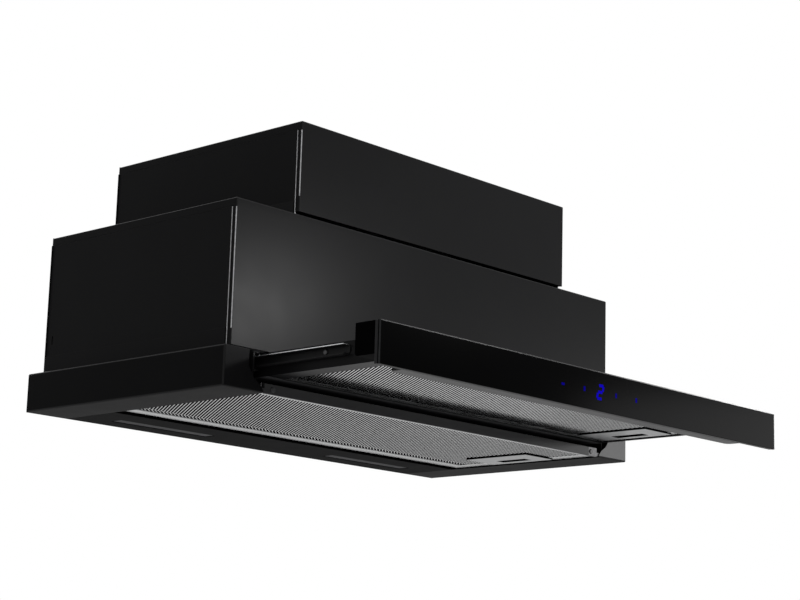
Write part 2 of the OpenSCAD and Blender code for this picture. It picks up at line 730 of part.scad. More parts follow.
// A half-round flap that hangs on the pin by two knuckles and lies on the collar's ledge.
knuckle_r = 3;
module flap(knuckles, turn) color([0.16, 0.16, 0.17]) placed()
    translate([0, duct_y, flap_z]) rotate([0, 0, turn]) difference() {
        union() {
            intersection() {
                translate([0, 0, -flap_t / 2]) cylinder(r = duct_r - collar_wall - 1.2, h = flap_t);
                union() {
                    box([-duct_r + 9, knuckle_r + touch, -flap_t], [duct_r - 9, duct_r, flap_t]);
                    box([-duct_r, boss_w + boss_top, -flap_t], [duct_r, duct_r, flap_t]);
                }
            }
            for (x = knuckles) {
                rod_x(x - 6, 0, 0, knuckle_r, 12);
                box([x - 6, 0, -flap_t / 2], [x + 6, knuckle_r + 2, flap_t / 2]);
            }
        }
        rod_x(-duct_r, 0, 0, flap_pin_r + 0.06, duct_d);
    }
knuckle_xs = [-duct_r * 0.56, duct_r * 0.19];
module flap_front() flap(knuckle_xs, 180);
module flap_rear() flap(knuckle_xs, 0);

// ---- screws of the housing ----

module housing_screws() color([0.7, 0.7, 0.72]) placed() {
    for (x = [-rail_screw_x, rail_screw_x]) translate([x, rail_y, rail_h / 2]) rotate([90, 0, 0])
        screw(2.6, rail_y - fit, rail_screw_r, rail_t);
    for (k = [0 : 3]) translate([0, duct_y, upper_top + 2]) rotate([0, 0, 45 + 90 * k])
        translate([duct_r + 6, 0, 0]) screw(3.2, 1.8, collar_screw_r, 2);
    for (k = [0 : 2]) translate([motor_x, fan_y, fan_z]) rotate([0, 90, 0]) rotate([0, 0, 120 * k])
        translate([motor_r + 12, 0, 0]) mirror([0, 0, 1]) screw(3.6, 2, 2, 2 * sheet);
    for (side = [-1, 1]) translate([control_x + side * (control_w / 2 + 5), case_back - 3, control_low + control_h / 2])
        rotate([90, 0, 0]) screw(2.8, 1.8, control_screw_r, 3);
}

// ---- drawer ----

// The filter tray: two walls, a floor flange at the left and back, and a back wall.
module drawer_tray() color([0.07, 0.07, 0.075]) pulled() difference() {
    union() {
        for (side = [-1, 1]) handed(side) box([tray_wall, 0, tray_z], [open_x, tray_d, tray_z + tray_h]);
        box([-open_x, 0, tray_z], [-open_x + tray_flange, tray_d, tray_z + sheet]);
        box([tray_wall - 2, 0, tray_z], [open_x, tray_d, tray_z + sheet]);
        box([-open_x, tray_d - tray_back, tray_z], [open_x, tray_d, tray_z + sheet]);
        box([-open_x, tray_d - sheet, tray_z], [open_x, tray_d, tray_z + tray_h]);
    }
    for (y = tongue_ys(front_latch_y))
        box([tray_wall - 1, y - 4.5, tray_z + sheet + 0.8], [open_x + 1, y + 4.5, tray_z + sheet + 4.4]);
    for (side = [-1, 1], y = runner_screw_ys)
        rod_x(side * (open_x - sheet / 2) - sheet, y, slide_z, runner_screw_r + screw_fit, 2 * sheet);
}

// The channel behind the glass: a back wall, a top, and a grip lip with rounded ends.
lip_r = 6;
module grip_profile() color([0.1, 0.1, 0.105]) pulled() {
    front = -panel_d + glass_t + backing_d;
    top = panel_z + panel_h;
    cap_in = open_x;
    intersection() {
        difference() {
            box([-open_x - lip_r, front, lip_z], [open_x + lip_r, 0, top]);
            box([-half_w, front - 1, lip_z + sheet], [half_w, -sheet, top - sheet]);
        }
        union() {
            box([-cap_in, front, lip_z], [cap_in, 0, top]);
            translate([0, 0, lip_z]) linear_extrude(cap_z - fit - lip_z) {
                translate([-open_x - lip_r, front]) square([2 * (open_x + lip_r), -front - lip_r]);
                translate([-open_x, front]) square([2 * open_x, -front]);
                for (side = [-1, 1]) translate([side * open_x, -lip_r]) circle(lip_r);
            }
        }
    }
}

// The glass plate across the whole front, with ground edges.
module glass_panel() color([0.03, 0.03, 0.035]) pulled()
    translate([-half_w, -panel_d, panel_z]) ground_plate(hood_w, panel_h, glass_t);

// An upright plate whose front edges are ground to a small bevel, made from its section.
glass_bevel = 0.5;
module ground_plate(w, h, t) intersection() {
    rotate([90, 0, 90]) linear_extrude(w) polygon([
        [0, glass_bevel], [glass_bevel, 0], [t, 0], [t, h], [glass_bevel, h], [0, h - glass_bevel]]);
    linear_extrude(h) polygon([
        [0, glass_bevel], [glass_bevel, 0], [w - glass_bevel, 0], [w, glass_bevel], [w, t], [0, t]]);
}

// The metal tray that the glass is bonded to.
board_w = 150;
board_low = 8;
board_high = 30;
module panel_backing() color([0.5, 0.51, 0.52]) pulled() difference() {
    box([-half_w + touch, -panel_d + glass_t, panel_z + touch],
        [half_w - touch, -panel_d + glass_t + backing_d, panel_z + panel_h - touch]);
    box([-half_w + touch + sheet, -panel_d + glass_t - 1, panel_z + touch + sheet],
        [half_w - touch - sheet, -panel_d + glass_t + backing_d - sheet, panel_z + panel_h - touch - sheet]);
    box([-display_w / 2 - 1, -panel_d, display_low - 1], [display_w / 2 + 1, 0, display_high + 1]);
}

module touch_board() color([0.08, 0.22, 0.12]) pulled()
    box([-board_w / 2, -panel_d + glass_t, board_low], [board_w / 2, -panel_d + glass_t + 1.6, board_high]);

display_w = 30;
display_low = 10;
display_high = 28;
module display_module() color([0.05, 0.05, 0.2]) pulled()
    box([-display_w / 2, -panel_d + glass_t + 1.6, display_low],
        [display_w / 2, -panel_d + glass_t + 9.6, display_high]);

// A plastic cap that closes each end of the panel, hollow towards the channel.
cap_wall = 2;
module end_cap(side) color([0.02, 0.02, 0.022]) pulled() handed(side) {
    front = -panel_d + glass_t + backing_d;
    top = panel_z + panel_h;
    difference() {
        translate([open_x, 0, 0]) rotate([90, 0, 90]) linear_extrude(flange_w - touch) union() {
            translate([front, cap_z]) square([-front - 3, top - cap_z]);
            translate([front, cap_z + 3]) square([-front, top - cap_z - 3]);
            translate([-3, cap_z + 3]) circle(3);
        }
        box([open_x - 1, front + cap_wall, cap_z + cap_wall],
            [half_w - touch - cap_wall, -cap_wall, top - cap_wall]);
    }
    for (k = [1 : 2])
        box([open_x + k * flange_w / 3, front + 1, cap_z + 1], [open_x + k * flange_w / 3 + 1.6, -1, top - 1]);
}
module end_cap_left() end_cap(-1);
module end_cap_right() end_cap(1);

module drawer_screws() color([0.75, 0.75, 0.77]) pulled()
    for (side = [-1, 1], y = runner_screw_ys) handed(side)
        translate([open_x + slide_web, y, slide_z]) rotate([0, 90, 0])
            screw(2.6, 1.3, runner_screw_r, slide_web + sheet);

// ---- filters ----

// Where a latch's two tongues pass the frame, from the latch's middle.
function tongue_ys(middle) = [middle - latch_l * 0.3, middle + latch_l * 0.3];
rear_latch_y = filter_y + filter_d * 0.48;

rim_t = 0.8;
strip_t = 0.8;
mesh_t = 0.6;
perf_w = 10;
hook_l = 9;

// A folded aluminium frame: rim, bottom strips, top lips, two hooks at the left.
module filter_frame(x0, x1, y0, y1, z, latch_y) {
    difference() {
        box([x0, y0, z], [x1, y1, z + filter_h]);
        box([x0 + 4, y0 + front_strip, z - 1], [x1 - strip_w, y1 - strip_w, z + filter_h + 1]);
        box([x0 + rim_t, y0 + rim_t, z + strip_t], [x1 - rim_t, y1 - rim_t, z + filter_h - strip_t]);
        box([x0 + 6, y0 + 6, z + 2], [x1 - 6, y1 - 6, z + filter_h + 1]);
        for (y = tongue_ys(latch_y))
            box([x1 - 1, y - 4.3, z + strip_t], [x1 + 1, y + 4.3, z + 3.9]);
    }
    for (f = [0.25, 0.75])
        box([x0 - hook_l, y0 + (y1 - y0) * f - 15, z + 0.1], [x0 + rim_t, y0 + (y1 - y0) * f + 15, z + 1.1]);
}

// The face sheet: staggered slots cut on the slant, and a row of holes before the back strip.
slot_l = 13;
slot_w = 4.5;
module mesh_plan(x0, x1, y0, y1) {
    nx = floor((x1 - x0 - slot_l - 2) / slot_px);
    ny = floor((y1 - y0 - slot_w - 3) / slot_py);
    for (i = [0 : nx], j = [0 : ny])
        if (i < nx || j % 2 == 0)
            translate([x0 + slot_l / 2 + 2 + slot_px * (i + (j % 2) / 2), y0 + slot_w / 2 + 2 + slot_py * j])
                polygon([[-slot_l / 2, 0], [-slot_l / 5, -slot_w / 2], [slot_l / 2, 0], [slot_l / 5, slot_w / 2]]);
}

module filter_mesh(x0, x1, y0, y1, z, latch_y) {
    latch_x = x1 - strip_w - latch_w;
    translate([0, 0, z + strip_t]) linear_extrude(mesh_t) difference() {
        translate([x0 + rim_t, y0 + rim_t]) square([x1 - x0 - 2 * rim_t, y1 - y0 - 2 * rim_t]);
        translate([latch_x, latch_y - latch_l / 2 - 3]) square([latch_w + strip_w - rim_t + eps, latch_l + 6]);
        mesh_plan(x0 + 4, latch_x - 2, y0 + front_strip, y1 - strip_w - perf_w);
        for (x = [x0 + 10 : 9.4 : x1 - strip_w - 4]) translate([x, y1 - strip_w - perf_w / 2]) circle(r = 1.6, $fn = 16);
    }
}

// The grease core: thin sheet folded into waves, left of the latch.
core_t = 0.5;
module filter_core(x0, x1, y0, y1, z) {
    low = z + strip_t + mesh_t;
    high = z + filter_h - strip_t - core_t;
    end = x1 - strip_w - latch_w - 4;
    n = floor((end - x0 - 2) / wave * 2);
    start = x0 + 2;
    translate([0, y1 - rim_t - touch, 0]) rotate([90, 0, 0]) linear_extrude(y1 - y0 - 2 * rim_t - 2 * touch)
        polygon(concat(
            [for (k = [0 : n]) [start + k * wave / 2, k % 2 == 0 ? low : high]],
            [for (k = [n : -1 : 0]) [start + k * wave / 2, (k % 2 == 0 ? low : high) + core_t]]));
}

// The fixed plate round a latch's finger slot. It lies on the frame's right strip.
module latch_plate(x1, z, latch_y) difference() {
    box([x1 - strip_w - latch_w + 3, latch_y - latch_l / 2, z + strip_t], [x1 - 8, latch_y + latch_l / 2, z + strip_t + 1]);
    box([x1 - strip_w - 14, latch_y - 20, z], [x1 - strip_w - 1, latch_y + 20, z + 3]);
}

// The sliding latch: a body on the plate, a finger rib in the slot, and two tongues.
module latch(x1, z, latch_y) {
    low = z + strip_t + 1;
    box([x1 - strip_w - 26, latch_y - latch_l / 2 + 4, low], [x1 - 2, latch_y + latch_l / 2 - 4, low + 2]);
    box([x1 - strip_w - 4, latch_y - 18, z + strip_t], [x1 - strip_w - 1.5, latch_y + 18, low + eps]);
    for (y = tongue_ys(latch_y)) box([x1 - 2 - eps, y - 4, z + strip_t + fit], [x1 + 3.8, y + 4, low + 2]);
}

rear_x0 = -open_x + 1;
rear_x1 = open_x - 0.5;
module rear_filter_frame() color([0.7, 0.71, 0.72]) placed()
    filter_frame(rear_x0, rear_x1, filter_y, filter_y + filter_d, filter_z, rear_latch_y);
module rear_filter_mesh() color([0.62, 0.63, 0.64]) placed()
    filter_mesh(rear_x0, rear_x1, filter_y, filter_y + filter_d, filter_z, rear_latch_y);
module rear_filter_core() color([0.5, 0.51, 0.52]) placed()
    filter_core(rear_x0, rear_x1, filter_y, filter_y + filter_d, filter_z);
module rear_latch_plate() color([0.6, 0.61, 0.62]) placed() latch_plate(rear_x1, filter_z, rear_latch_y);
module rear_latch() color([0.3, 0.3, 0.31]) placed() latch(rear_x1, filter_z, rear_latch_y);

front_x0 = -open_x + tray_flange + 1;
front_x1 = tray_wall - 2.5;
front_z = tray_z + filter_z;
front_y0 = 1.5;
front_latch_y = front_y0 + tray_filter_d * 0.63;
module front_filter_frame() color([0.7, 0.71, 0.72]) pulled()
    filter_frame(front_x0, front_x1, front_y0, front_y0 + tray_filter_d, front_z, front_latch_y);
module front_filter_mesh() color([0.62, 0.63, 0.64]) pulled()
    filter_mesh(front_x0, front_x1, front_y0, front_y0 + tray_filter_d, front_z, front_latch_y);
module front_filter_core() color([0.5, 0.51, 0.52]) pulled()
    filter_core(front_x0, front_x1, front_y0, front_y0 + tray_filter_d, front_z);
module front_latch_plate() color([0.6, 0.61, 0.62]) pulled() latch_plate(front_x1, front_z, front_latch_y);
module front_latch() color([0.3, 0.3, 0.31]) pulled() latch(front_x1, front_z, front_latch_y);

base_frame();
front_rail();
lower_shell();
lower_side_left();
lower_side_right();
upper_shell();
upper_side_left();
upper_side_right();
back_panel();
light_panel();
light_lens_left();
light_lens_right();
light_boards();
slide_bracket_left();
slide_bracket_right();
slide_outer_left();
slide_outer_right();
scroll_left();
scroll_right();
motor_case();
motor_mount();
motor_bearings();
fan_capacitor();
control_box();
cable_gland();
duct_collar();
flap_pin();
switch_body();
housing_screws();
drawer_tray();
grip_profile();
glass_panel();
panel_backing();
end_cap_left();
end_cap_right();
touch_board();
display_module();
slide_inner_left();
slide_inner_right();
drawer_screws();
slide_cage_left();
slide_balls_left();
slide_cage_right();
slide_balls_right();
rear_filter_frame();
rear_filter_mesh();
rear_filter_core();
rear_latch_plate();
rear_latch();
front_filter_frame();
front_filter_mesh();
front_filter_core();
front_latch_plate();
front_latch();
fan_wheel();
motor_shaft();
flap_front();
flap_rear();
switch_lever();
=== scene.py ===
"""The looks of a pull-out cooker hood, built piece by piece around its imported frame."""

import math

import bmesh
import bpy
from mathutils import Matrix, Vector


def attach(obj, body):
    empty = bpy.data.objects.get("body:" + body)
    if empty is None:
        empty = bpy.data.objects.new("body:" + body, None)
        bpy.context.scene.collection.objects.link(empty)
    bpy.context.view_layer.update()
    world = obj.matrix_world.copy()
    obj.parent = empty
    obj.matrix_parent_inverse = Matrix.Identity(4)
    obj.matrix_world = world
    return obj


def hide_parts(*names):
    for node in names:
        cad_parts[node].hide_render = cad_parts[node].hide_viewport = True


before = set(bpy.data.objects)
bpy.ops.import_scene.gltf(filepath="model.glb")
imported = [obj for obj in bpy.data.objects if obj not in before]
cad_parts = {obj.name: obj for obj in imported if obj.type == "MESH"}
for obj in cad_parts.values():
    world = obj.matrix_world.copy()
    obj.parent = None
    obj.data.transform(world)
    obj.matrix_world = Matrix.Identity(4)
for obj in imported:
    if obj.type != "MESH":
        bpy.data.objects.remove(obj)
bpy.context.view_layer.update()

# ---------------------------------------------------------------- base
# The base is a shallow folded sheet-steel pan, open below for the filter. Each side is a wall
# with a floor flange, a ledge for the casing and a front cheek, folded from 1 mm sheet, spot
# welded to the rear wall and powder coated in satin black.

MM = 0.001
HALF_WIDTH = 299.0
BASE_DEPTH = 285.0
BASE_HEIGHT = 38.0
SHEET = 1.0
FOLD = 1.5
FRAME_SHIFT = -47.5  # from the base's front edge to the middle of the footprint
DRAWER_OUT = -160.0
SHARP_ANGLE = 25.0  # faces that meet at more than this get an eased edge
SMOOTH_ANGLE = 32.0  # faces that meet at less than this are shaded as one
CUT_EDGE = 0.3  # the radius of a deburred edge
THIN_EDGE = 0.2
COAT_DEPTH = 0.012


def new_finish(name, colour, roughness, metallic=0.0, specular=0.5):
    """A material, its node tree, its shader and the Object coordinates for its patterns."""
    finish = bpy.data.materials.new(name)
    finish.use_nodes = True
    tree = finish.node_tree
    shader = tree.nodes["Principled BSDF"]
    shader.inputs["Base Color"].default_value = (*colour, 1.0)
    shader.inputs["Roughness"].default_value = roughness
    shader.inputs["Metallic"].default_value = metallic
    shader.inputs["Specular IOR Level"].default_value = specular
    place = tree.nodes.new("ShaderNodeTexCoord").outputs["Object"]
    return finish, tree, shader, place


def cloud(tree, place, scale, detail=3.0, stretch=(1, 1, 1)):
    """A noise pattern with the given number of cells per metre, stretched along an axis."""
    spread = tree.nodes.new("ShaderNodeMapping")
    spread.inputs["Scale"].default_value = stretch
    tree.links.new(place, spread.inputs["Vector"])
    pattern = tree.nodes.new("ShaderNodeTexNoise")
    pattern.inputs["Scale"].default_value = scale
    pattern.inputs["Detail"].default_value = detail
    tree.links.new(spread.outputs["Vector"], pattern.inputs["Vector"])
    return pattern.outputs["Fac"]


def tint(tree, shader, pattern, dark, light, low=0.3, high=0.7):
    """Lets the colour drift between two tones with the pattern."""
    ramp = tree.nodes.new("ShaderNodeValToRGB")
    ramp.color_ramp.elements[0].position = low
    ramp.color_ramp.elements[0].color = (*dark, 1)
    ramp.color_ramp.elements[1].position = high
    ramp.color_ramp.elements[1].color = (*light, 1)
    tree.links.new(pattern, ramp.inputs["Fac"])
    tree.links.new(ramp.outputs["Color"], shader.inputs["Base Color"])


def gloss(tree, shader, pattern, low, high):
    """Lets the roughness drift between two values with the pattern."""
    spread = tree.nodes.new("ShaderNodeMapRange")
    spread.inputs["From Min"].default_value = 0.3
    spread.inputs["From Max"].default_value = 0.7
    spread.inputs["To Min"].default_value = low
    spread.inputs["To Max"].default_value = high
    tree.links.new(pattern, spread.inputs["Value"])
    tree.links.new(spread.outputs["Result"], shader.inputs["Roughness"])


def grain(tree, shader, pattern, depth):
    """Raises the surface by the pattern, by up to the given depth in millimetres."""
    bump = tree.nodes.new("ShaderNodeBump")
    bump.inputs["Distance"].default_value = depth * MM
    tree.links.new(pattern, bump.inputs["Height"])
    tree.links.new(bump.outputs["Normal"], shader.inputs["Normal"])


def powder_coat(name, colour, roughness, specular):
    """Satin powder coat: an even black with a fine orange peel."""
    finish, tree, shader, place = new_finish(name, colour, roughness, 0.0, specular)
    lighter = tuple(c * 1.15 for c in colour)
    tint(tree, shader, cloud(tree, place, 9.0), colour, lighter)
    gloss(tree, shader, cloud(tree, place, 30.0), roughness - 0.012, roughness + 0.012)
    grain(tree, shader, cloud(tree, place, 1400.0, 2.0), COAT_DEPTH)
    return finish


def bar(bm, low, high):
    """Adds a closed block between two corners, and returns its vertices."""
    made = bmesh.ops.create_cube(bm, size=1.0)["verts"]
    low, high = Vector(low), Vector(high)
    bmesh.ops.scale(bm, vec=high - low, verts=made)
    bmesh.ops.translate(bm, vec=(low + high) / 2, verts=made)
    return made


def ease(bm, edges, radius, segments=2, finish_index=0):
    """Rounds the given edges. The rounding can take another finish than the faces beside it."""
    if edges:
        made = bmesh.ops.bevel(bm, geom=edges, offset=radius, offset_type="OFFSET",
                               segments=segments, profile=0.5, affect="EDGES", material=-1,
                               clamp_overlap=True)
        for face in made["faces"]:
            face.material_index = finish_index


def eased_bar(bm, low, high, radius):
    """Adds a closed block and rounds its own edges."""
    made = set(bar(bm, low, high))
    ease(bm, [e for e in bm.edges if set(e.verts) <= made], radius)


def sharp_edges(bm):
    """The edges whose two faces meet at an angle."""
    return [e for e in bm.edges if len(e.link_faces) == 2
            and e.calc_face_angle(0.0) > math.radians(SHARP_ANGLE)]


def everything(bm):
    """All vertices, edges and faces."""
    return list(bm.verts) + list(bm.edges) + list(bm.faces)


def once_each(parts):
    """The parts in their own order, without repeats."""
    return list(dict.fromkeys(parts))


def cut(bm, where, across, faces=None):
    """Adds a cut through the faces on a plane, and keeps both sides."""
    chosen = faces if faces is not None else list(bm.faces)
    around = once_each(part for face in chosen for part in (*face.edges, *face.verts))
    bmesh.ops.bisect_plane(bm, geom=chosen + around, dist=1e-5, plane_co=where,
                           plane_no=across)


def drop_faces(bm, unwanted):
    """Deletes the faces for which the test on the middle holds."""
    gone = [f for f in bm.faces if unwanted(f.calc_center_median())]
    bmesh.ops.delete(bm, geom=gone, context="FACES")


def thicken(bm, thickness):
    """Gives an open sheet its thickness, inwards."""
    bmesh.ops.recalc_face_normals(bm, faces=bm.faces)
    bmesh.ops.solidify(bm, geom=list(bm.faces), thickness=thickness)


def piece(bm, name, body, finish, nodes=(), out=0.0):
    """Makes a bmesh, drawn in millimetres from the base's front edge, a piece of the hood."""
    bmesh.ops.translate(bm, vec=(0, FRAME_SHIFT + out, 0), verts=bm.verts)
    bmesh.ops.scale(bm, vec=(MM, MM, MM), verts=bm.verts)
    mesh = bpy.data.meshes.new(name)
    bm.to_mesh(mesh)
    bm.free()
    mesh.shade_smooth()
    mesh.set_sharp_from_angle(angle=math.radians(SMOOTH_ANGLE))
    for one in finish if isinstance(finish, tuple) else (finish,):
        mesh.materials.append(one)
    made = bpy.data.objects.new(name, mesh)
    bpy.context.scene.collection.objects.link(made)
    flats = made.modifiers.new("flat_faces_stay_flat", "WEIGHTED_NORMAL")
    flats.weight = 100
    flats.keep_sharp = True
    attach(made, body)
    if nodes:
        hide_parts(*nodes)


def node_copy(node):
    """A copy of a node's mesh in millimetres from the base's front edge, its triangles merged."""
    bm = bmesh.new()
    bm.from_mesh(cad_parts[node].data)
    bmesh.ops.remove_doubles(bm, verts=bm.verts, dist=1e-6)
    bmesh.ops.scale(bm, vec=(1 / MM, 1 / MM, 1 / MM), verts=bm.verts)
    bmesh.ops.translate(bm, vec=(0, -FRAME_SHIFT, 0), verts=bm.verts)
    bmesh.ops.dissolve_limit(bm, angle_limit=math.radians(1.0), verts=bm.verts, edges=bm.edges)
    return bm


def eased_copy(node, name, body, finish, radius=0.25, segments=2):
    """A node's own shape with its edges eased, as pressing, moulding or filing leaves them."""
    bm = node_copy(node)
    ease(bm, sharp_edges(bm), radius, segments, 1 if isinstance(finish, tuple) else 0)
    piece(bm, name, body, finish, (node,))


def dress(node, finish):
    """Gives a CAD node its finish."""
    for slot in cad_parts[node].material_slots:
        slot.material = finish


black_coat = powder_coat("satin_black_coat", (0.0066, 0.0066, 0.0070), 0.30, 0.034)
base_coat = powder_coat("satin_black_base", (0.0036, 0.0036, 0.0039), 0.46, 0.018)
# Painted shade: a flat dull grey for the band between the front filter's mesh and the rail, on
# the tray's rear strip and under the front cassette's back strip.
painted_shade_grey = powder_coat("painted_shade_grey_band", (0.05, 0.05, 0.052), 0.6, 0.0)
# Painted shade: the base's coat with less sheen, for its undersides.
underside_painted_shade = powder_coat("satin_black_underside_painted_shade", (0.0036, 0.0036, 0.0039), 0.46, 0.0125)
# Painted shade: a black without sheen for the narrow gaps and grooves where shade falls; the
# latch sliders take it too.
matt_black = powder_coat("black_and_painted_shade_edge", (0.0008, 0.0008, 0.0009), 0.8, 0.0)
# Painted shade: a darker, duller copy of the coat for the faces turned from the front lamps: the
# sides, the rear, the upstands and the left cheek's front.
side_face_painted_shade = powder_coat("satin_black_side_painted_shade", (0.0060, 0.0060, 0.0064), 0.48, 0.028)
# Painted light: a lighter, glossier copy of the coat for the right cheek's front.
cheek_painted_light = powder_coat("black_cheek_painted_light", (0.013, 0.013, 0.0135), 0.26, 0.14)
# Painted highlight: a lighter, glossier coat on the rounded folds and eased edges.
fold_painted_highlight = powder_coat("painted_highlight_on_folds", (0.012, 0.012, 0.0125), 0.36, 0.07)
# Bright steel: the side plates' bare cut edges, and a painted highlight on them and on the
# casing's corner folds.
cut_steel_and_painted_highlight, tree, shader, place = new_finish("bare_cut_steel", (0.42, 0.42, 0.43), 0.45, 0.6)
tint(tree, shader, cloud(tree, place, 300.0, 4.0), (0.30, 0.30, 0.31), (0.50, 0.50, 0.51))
grain(tree, shader, cloud(tree, place, 2000.0, 1.0), 0.01)

OPEN_HALF = 250.0
LEDGE_X = 280.0
CHEEK_TOP_X = 270.5
# The cheek's inner edge: from and to a height, and how far out it stands at both.
CHEEK_BANDS = [(0.0, 2.0, OPEN_HALF, OPEN_HALF),
               (2.0, 7.0, OPEN_HALF, 254.0),
               (7.0, 12.25, 254.0, 262.0),
               (12.25, 22.25, 262.0, 269.0),
               (22.25, BASE_HEIGHT, 269.0, 269.0)]
REAR_INSET = 0.3  # the rear wall stops short of the side walls' outside
UPSTAND_TOP = 58.0
UPSTAND_FRONT = 20.5
CASE_SETBACK = 14.0

bm = bmesh.new()
bar(bm, (OPEN_HALF, 0, 0), (HALF_WIDTH, BASE_DEPTH - SHEET, BASE_HEIGHT))
drop_faces(bm, lambda c: c.x < OPEN_HALF + 0.1 or c.y > BASE_DEPTH - SHEET - 0.1)
ease(bm, sharp_edges(bm), FOLD, 4, 1)
for height_low in [band[0] for band in CHEEK_BANDS[1:]]:
    cheek = [f for f in bm.faces if f.calc_center_median().y < 0.5]
    cut(bm, (0, 0, height_low), (0, 0, 1), cheek)
for height_low, height_high, x_low, x_high in CHEEK_BANDS:
    band = [f for f in bm.faces if f.calc_center_median().y < 0.5
            and height_low < f.calc_center_median().z < height_high]
    cut(bm, (x_low, 0, height_low), (height_high - height_low, 0, x_low - x_high), band)
drop_faces(bm, lambda c: c.y < 0.4 and any(
    low < c.z < high and c.x < x_low + (x_high - x_low) * (c.z - low) / (high - low)
    for low, high, x_low, x_high in CHEEK_BANDS))
cut(bm, (0, CASE_SETBACK, 0), (0, 1, 0))
cut(bm, (LEDGE_X, 0, 0), (1, 0, 0))
cut(bm, (CHEEK_TOP_X, 0, 0), (1, 0, 0))
drop_faces(bm, lambda c: c.z > BASE_HEIGHT - 0.3 and (
    c.x < LEDGE_X if c.y > CASE_SETBACK else c.x < CHEEK_TOP_X))
thicken(bm, SHEET)
eased_bar(bm, (LEDGE_X, UPSTAND_FRONT, BASE_HEIGHT - SHEET),
          (LEDGE_X + SHEET, BASE_DEPTH - SHEET - 0.2, UPSTAND_TOP), CUT_EDGE)
bmesh.ops.mirror(bm, geom=everything(bm), axis="X", merge_dist=0)
eased_bar(bm, (-HALF_WIDTH + REAR_INSET, BASE_DEPTH - SHEET, 0.0),
          (HALF_WIDTH - REAR_INSET, BASE_DEPTH, BASE_HEIGHT - SHEET), CUT_EDGE)
bmesh.ops.recalc_face_normals(bm, faces=bm.faces)
pan_finishes = (base_coat, fold_painted_highlight, side_face_painted_shade, underside_painted_shade, matt_black, cheek_painted_light)
# Painted light and shade, by the way the faces look: the front faces and the upstands take the
# darker side coat, but the right cheek's front a lighter, glossier coat; the edges beside the
# opening take the unlit black, and the undersides a coat with less sheen.
for face in bm.faces:
    middle = face.calc_center_median()
    if face.normal.y < -0.9 and middle.x > 0:
        face.material_index = pan_finishes.index(cheek_painted_light)
    elif face.normal.y < -0.9 or middle.z > BASE_HEIGHT + 2.0:
        face.material_index = pan_finishes.index(side_face_painted_shade)
    elif abs(abs(middle.x) - OPEN_HALF) < 0.1 and middle.z < SHEET:
        face.material_index = pan_finishes.index(matt_black)
    elif face.normal.z < -0.9 and middle.z < SHEET:
        face.material_index = pan_finishes.index(underside_painted_shade)
piece(bm, "base_pan", "housing", pan_finishes, ("base_frame",))

# ---------------------------------------------------------------- front rail
# A flat steel bar stiffens the mouth of the base under the drawer. Its ends step up on the
# side flanges, and a pan-head screw holds each of them.

# A grey coat for the rail and the grip channel; on the rail the grey is partly painted light, a
# lighter tone standing in for the light the bar catches.
grey_and_painted_light_coat = powder_coat("satin_grey_coat", (0.036, 0.036, 0.037), 0.38, 0.15)

zinc, tree, shader, place = new_finish("bright_zinc", (0.55, 0.56, 0.58), 0.32, 1.0)
tint(tree, shader, cloud(tree, place, 220.0, 4.0), (0.50, 0.51, 0.53), (0.74, 0.75, 0.76))
gloss(tree, shader, cloud(tree, place, 400.0), 0.24, 0.42)
grain(tree, shader, cloud(tree, place, 900.0, 2.0), 0.008)
black_zinc, tree, shader, place = new_finish(
    "blackened_zinc", (0.012, 0.012, 0.013), 0.42, 0.0, 0.1)
tint(tree, shader, cloud(tree, place, 180.0, 4.0), (0.007, 0.007, 0.008), (0.013, 0.013, 0.014))
grain(tree, shader, cloud(tree, place, 900.0, 2.0), 0.01)
dull_zinc, tree, shader, place = new_finish("dull_zinc", (0.22, 0.22, 0.225), 0.5, 0.35, 0.2)
tint(tree, shader, cloud(tree, place, 260.0, 4.0), (0.17, 0.17, 0.175), (0.27, 0.27, 0.275))
grain(tree, shader, cloud(tree, place, 900.0, 2.0), 0.01)
screw_steel, tree, shader, place = new_finish(
    "blackened_screws", (0.05, 0.05, 0.052), 0.35, 0.4, 0.3)
tint(tree, shader, cloud(tree, place, 260.0, 4.0), (0.035, 0.035, 0.037), (0.065, 0.065, 0.067))
dress("drawer_screws", screw_steel)
dress("housing_screws", screw_steel)

RAIL_PLATE_X = 233.4  # beyond it, at the right, a bare zinc end plate lies on the rail
RAIL_FRONT_Y = 1.5
bm = node_copy("front_rail")
ease(bm, sharp_edges(bm), CUT_EDGE)
cut(bm, (RAIL_PLATE_X, 0, 0), (1, 0, 0))
for face in bm.faces:
    middle = face.calc_center_median()
    if middle.x > RAIL_PLATE_X and middle.y < RAIL_FRONT_Y:
        face.material_index = 1
piece(bm, "stiffening_rail", "housing", (grey_and_painted_light_coat, dull_zinc), ("front_rail",))

# ---------------------------------------------------------------- casing
# Two stepped boxes of 1 mm sheet stand on the base: the lower holds the motor and the controls,
# the upper the fan's outlet. Each is a front and top folded in one, with skirts over its side
# plates and joggled flanges behind its front corners. Powder coated with the base.

BACK_FACE = BASE_DEPTH - SHEET
JOGGLE = 17.5
SKIRT = 8.0
RETURN_DEPTH = 26.0
CASE_FOLD = 1.3
FOLD_HIGHLIGHT_LOW = 15.0  # a corner fold carries a painted highlight from this far above its foot to this far below its top
FOLD_HIGHLIGHT_HIGH = 9.0  # to this far below its top
JOGGLE_OUT = 0.9  # the joggled strip lies this far inside the casing's side
casing_finishes = (black_coat, fold_painted_highlight, cut_steel_and_painted_highlight, side_face_painted_shade)


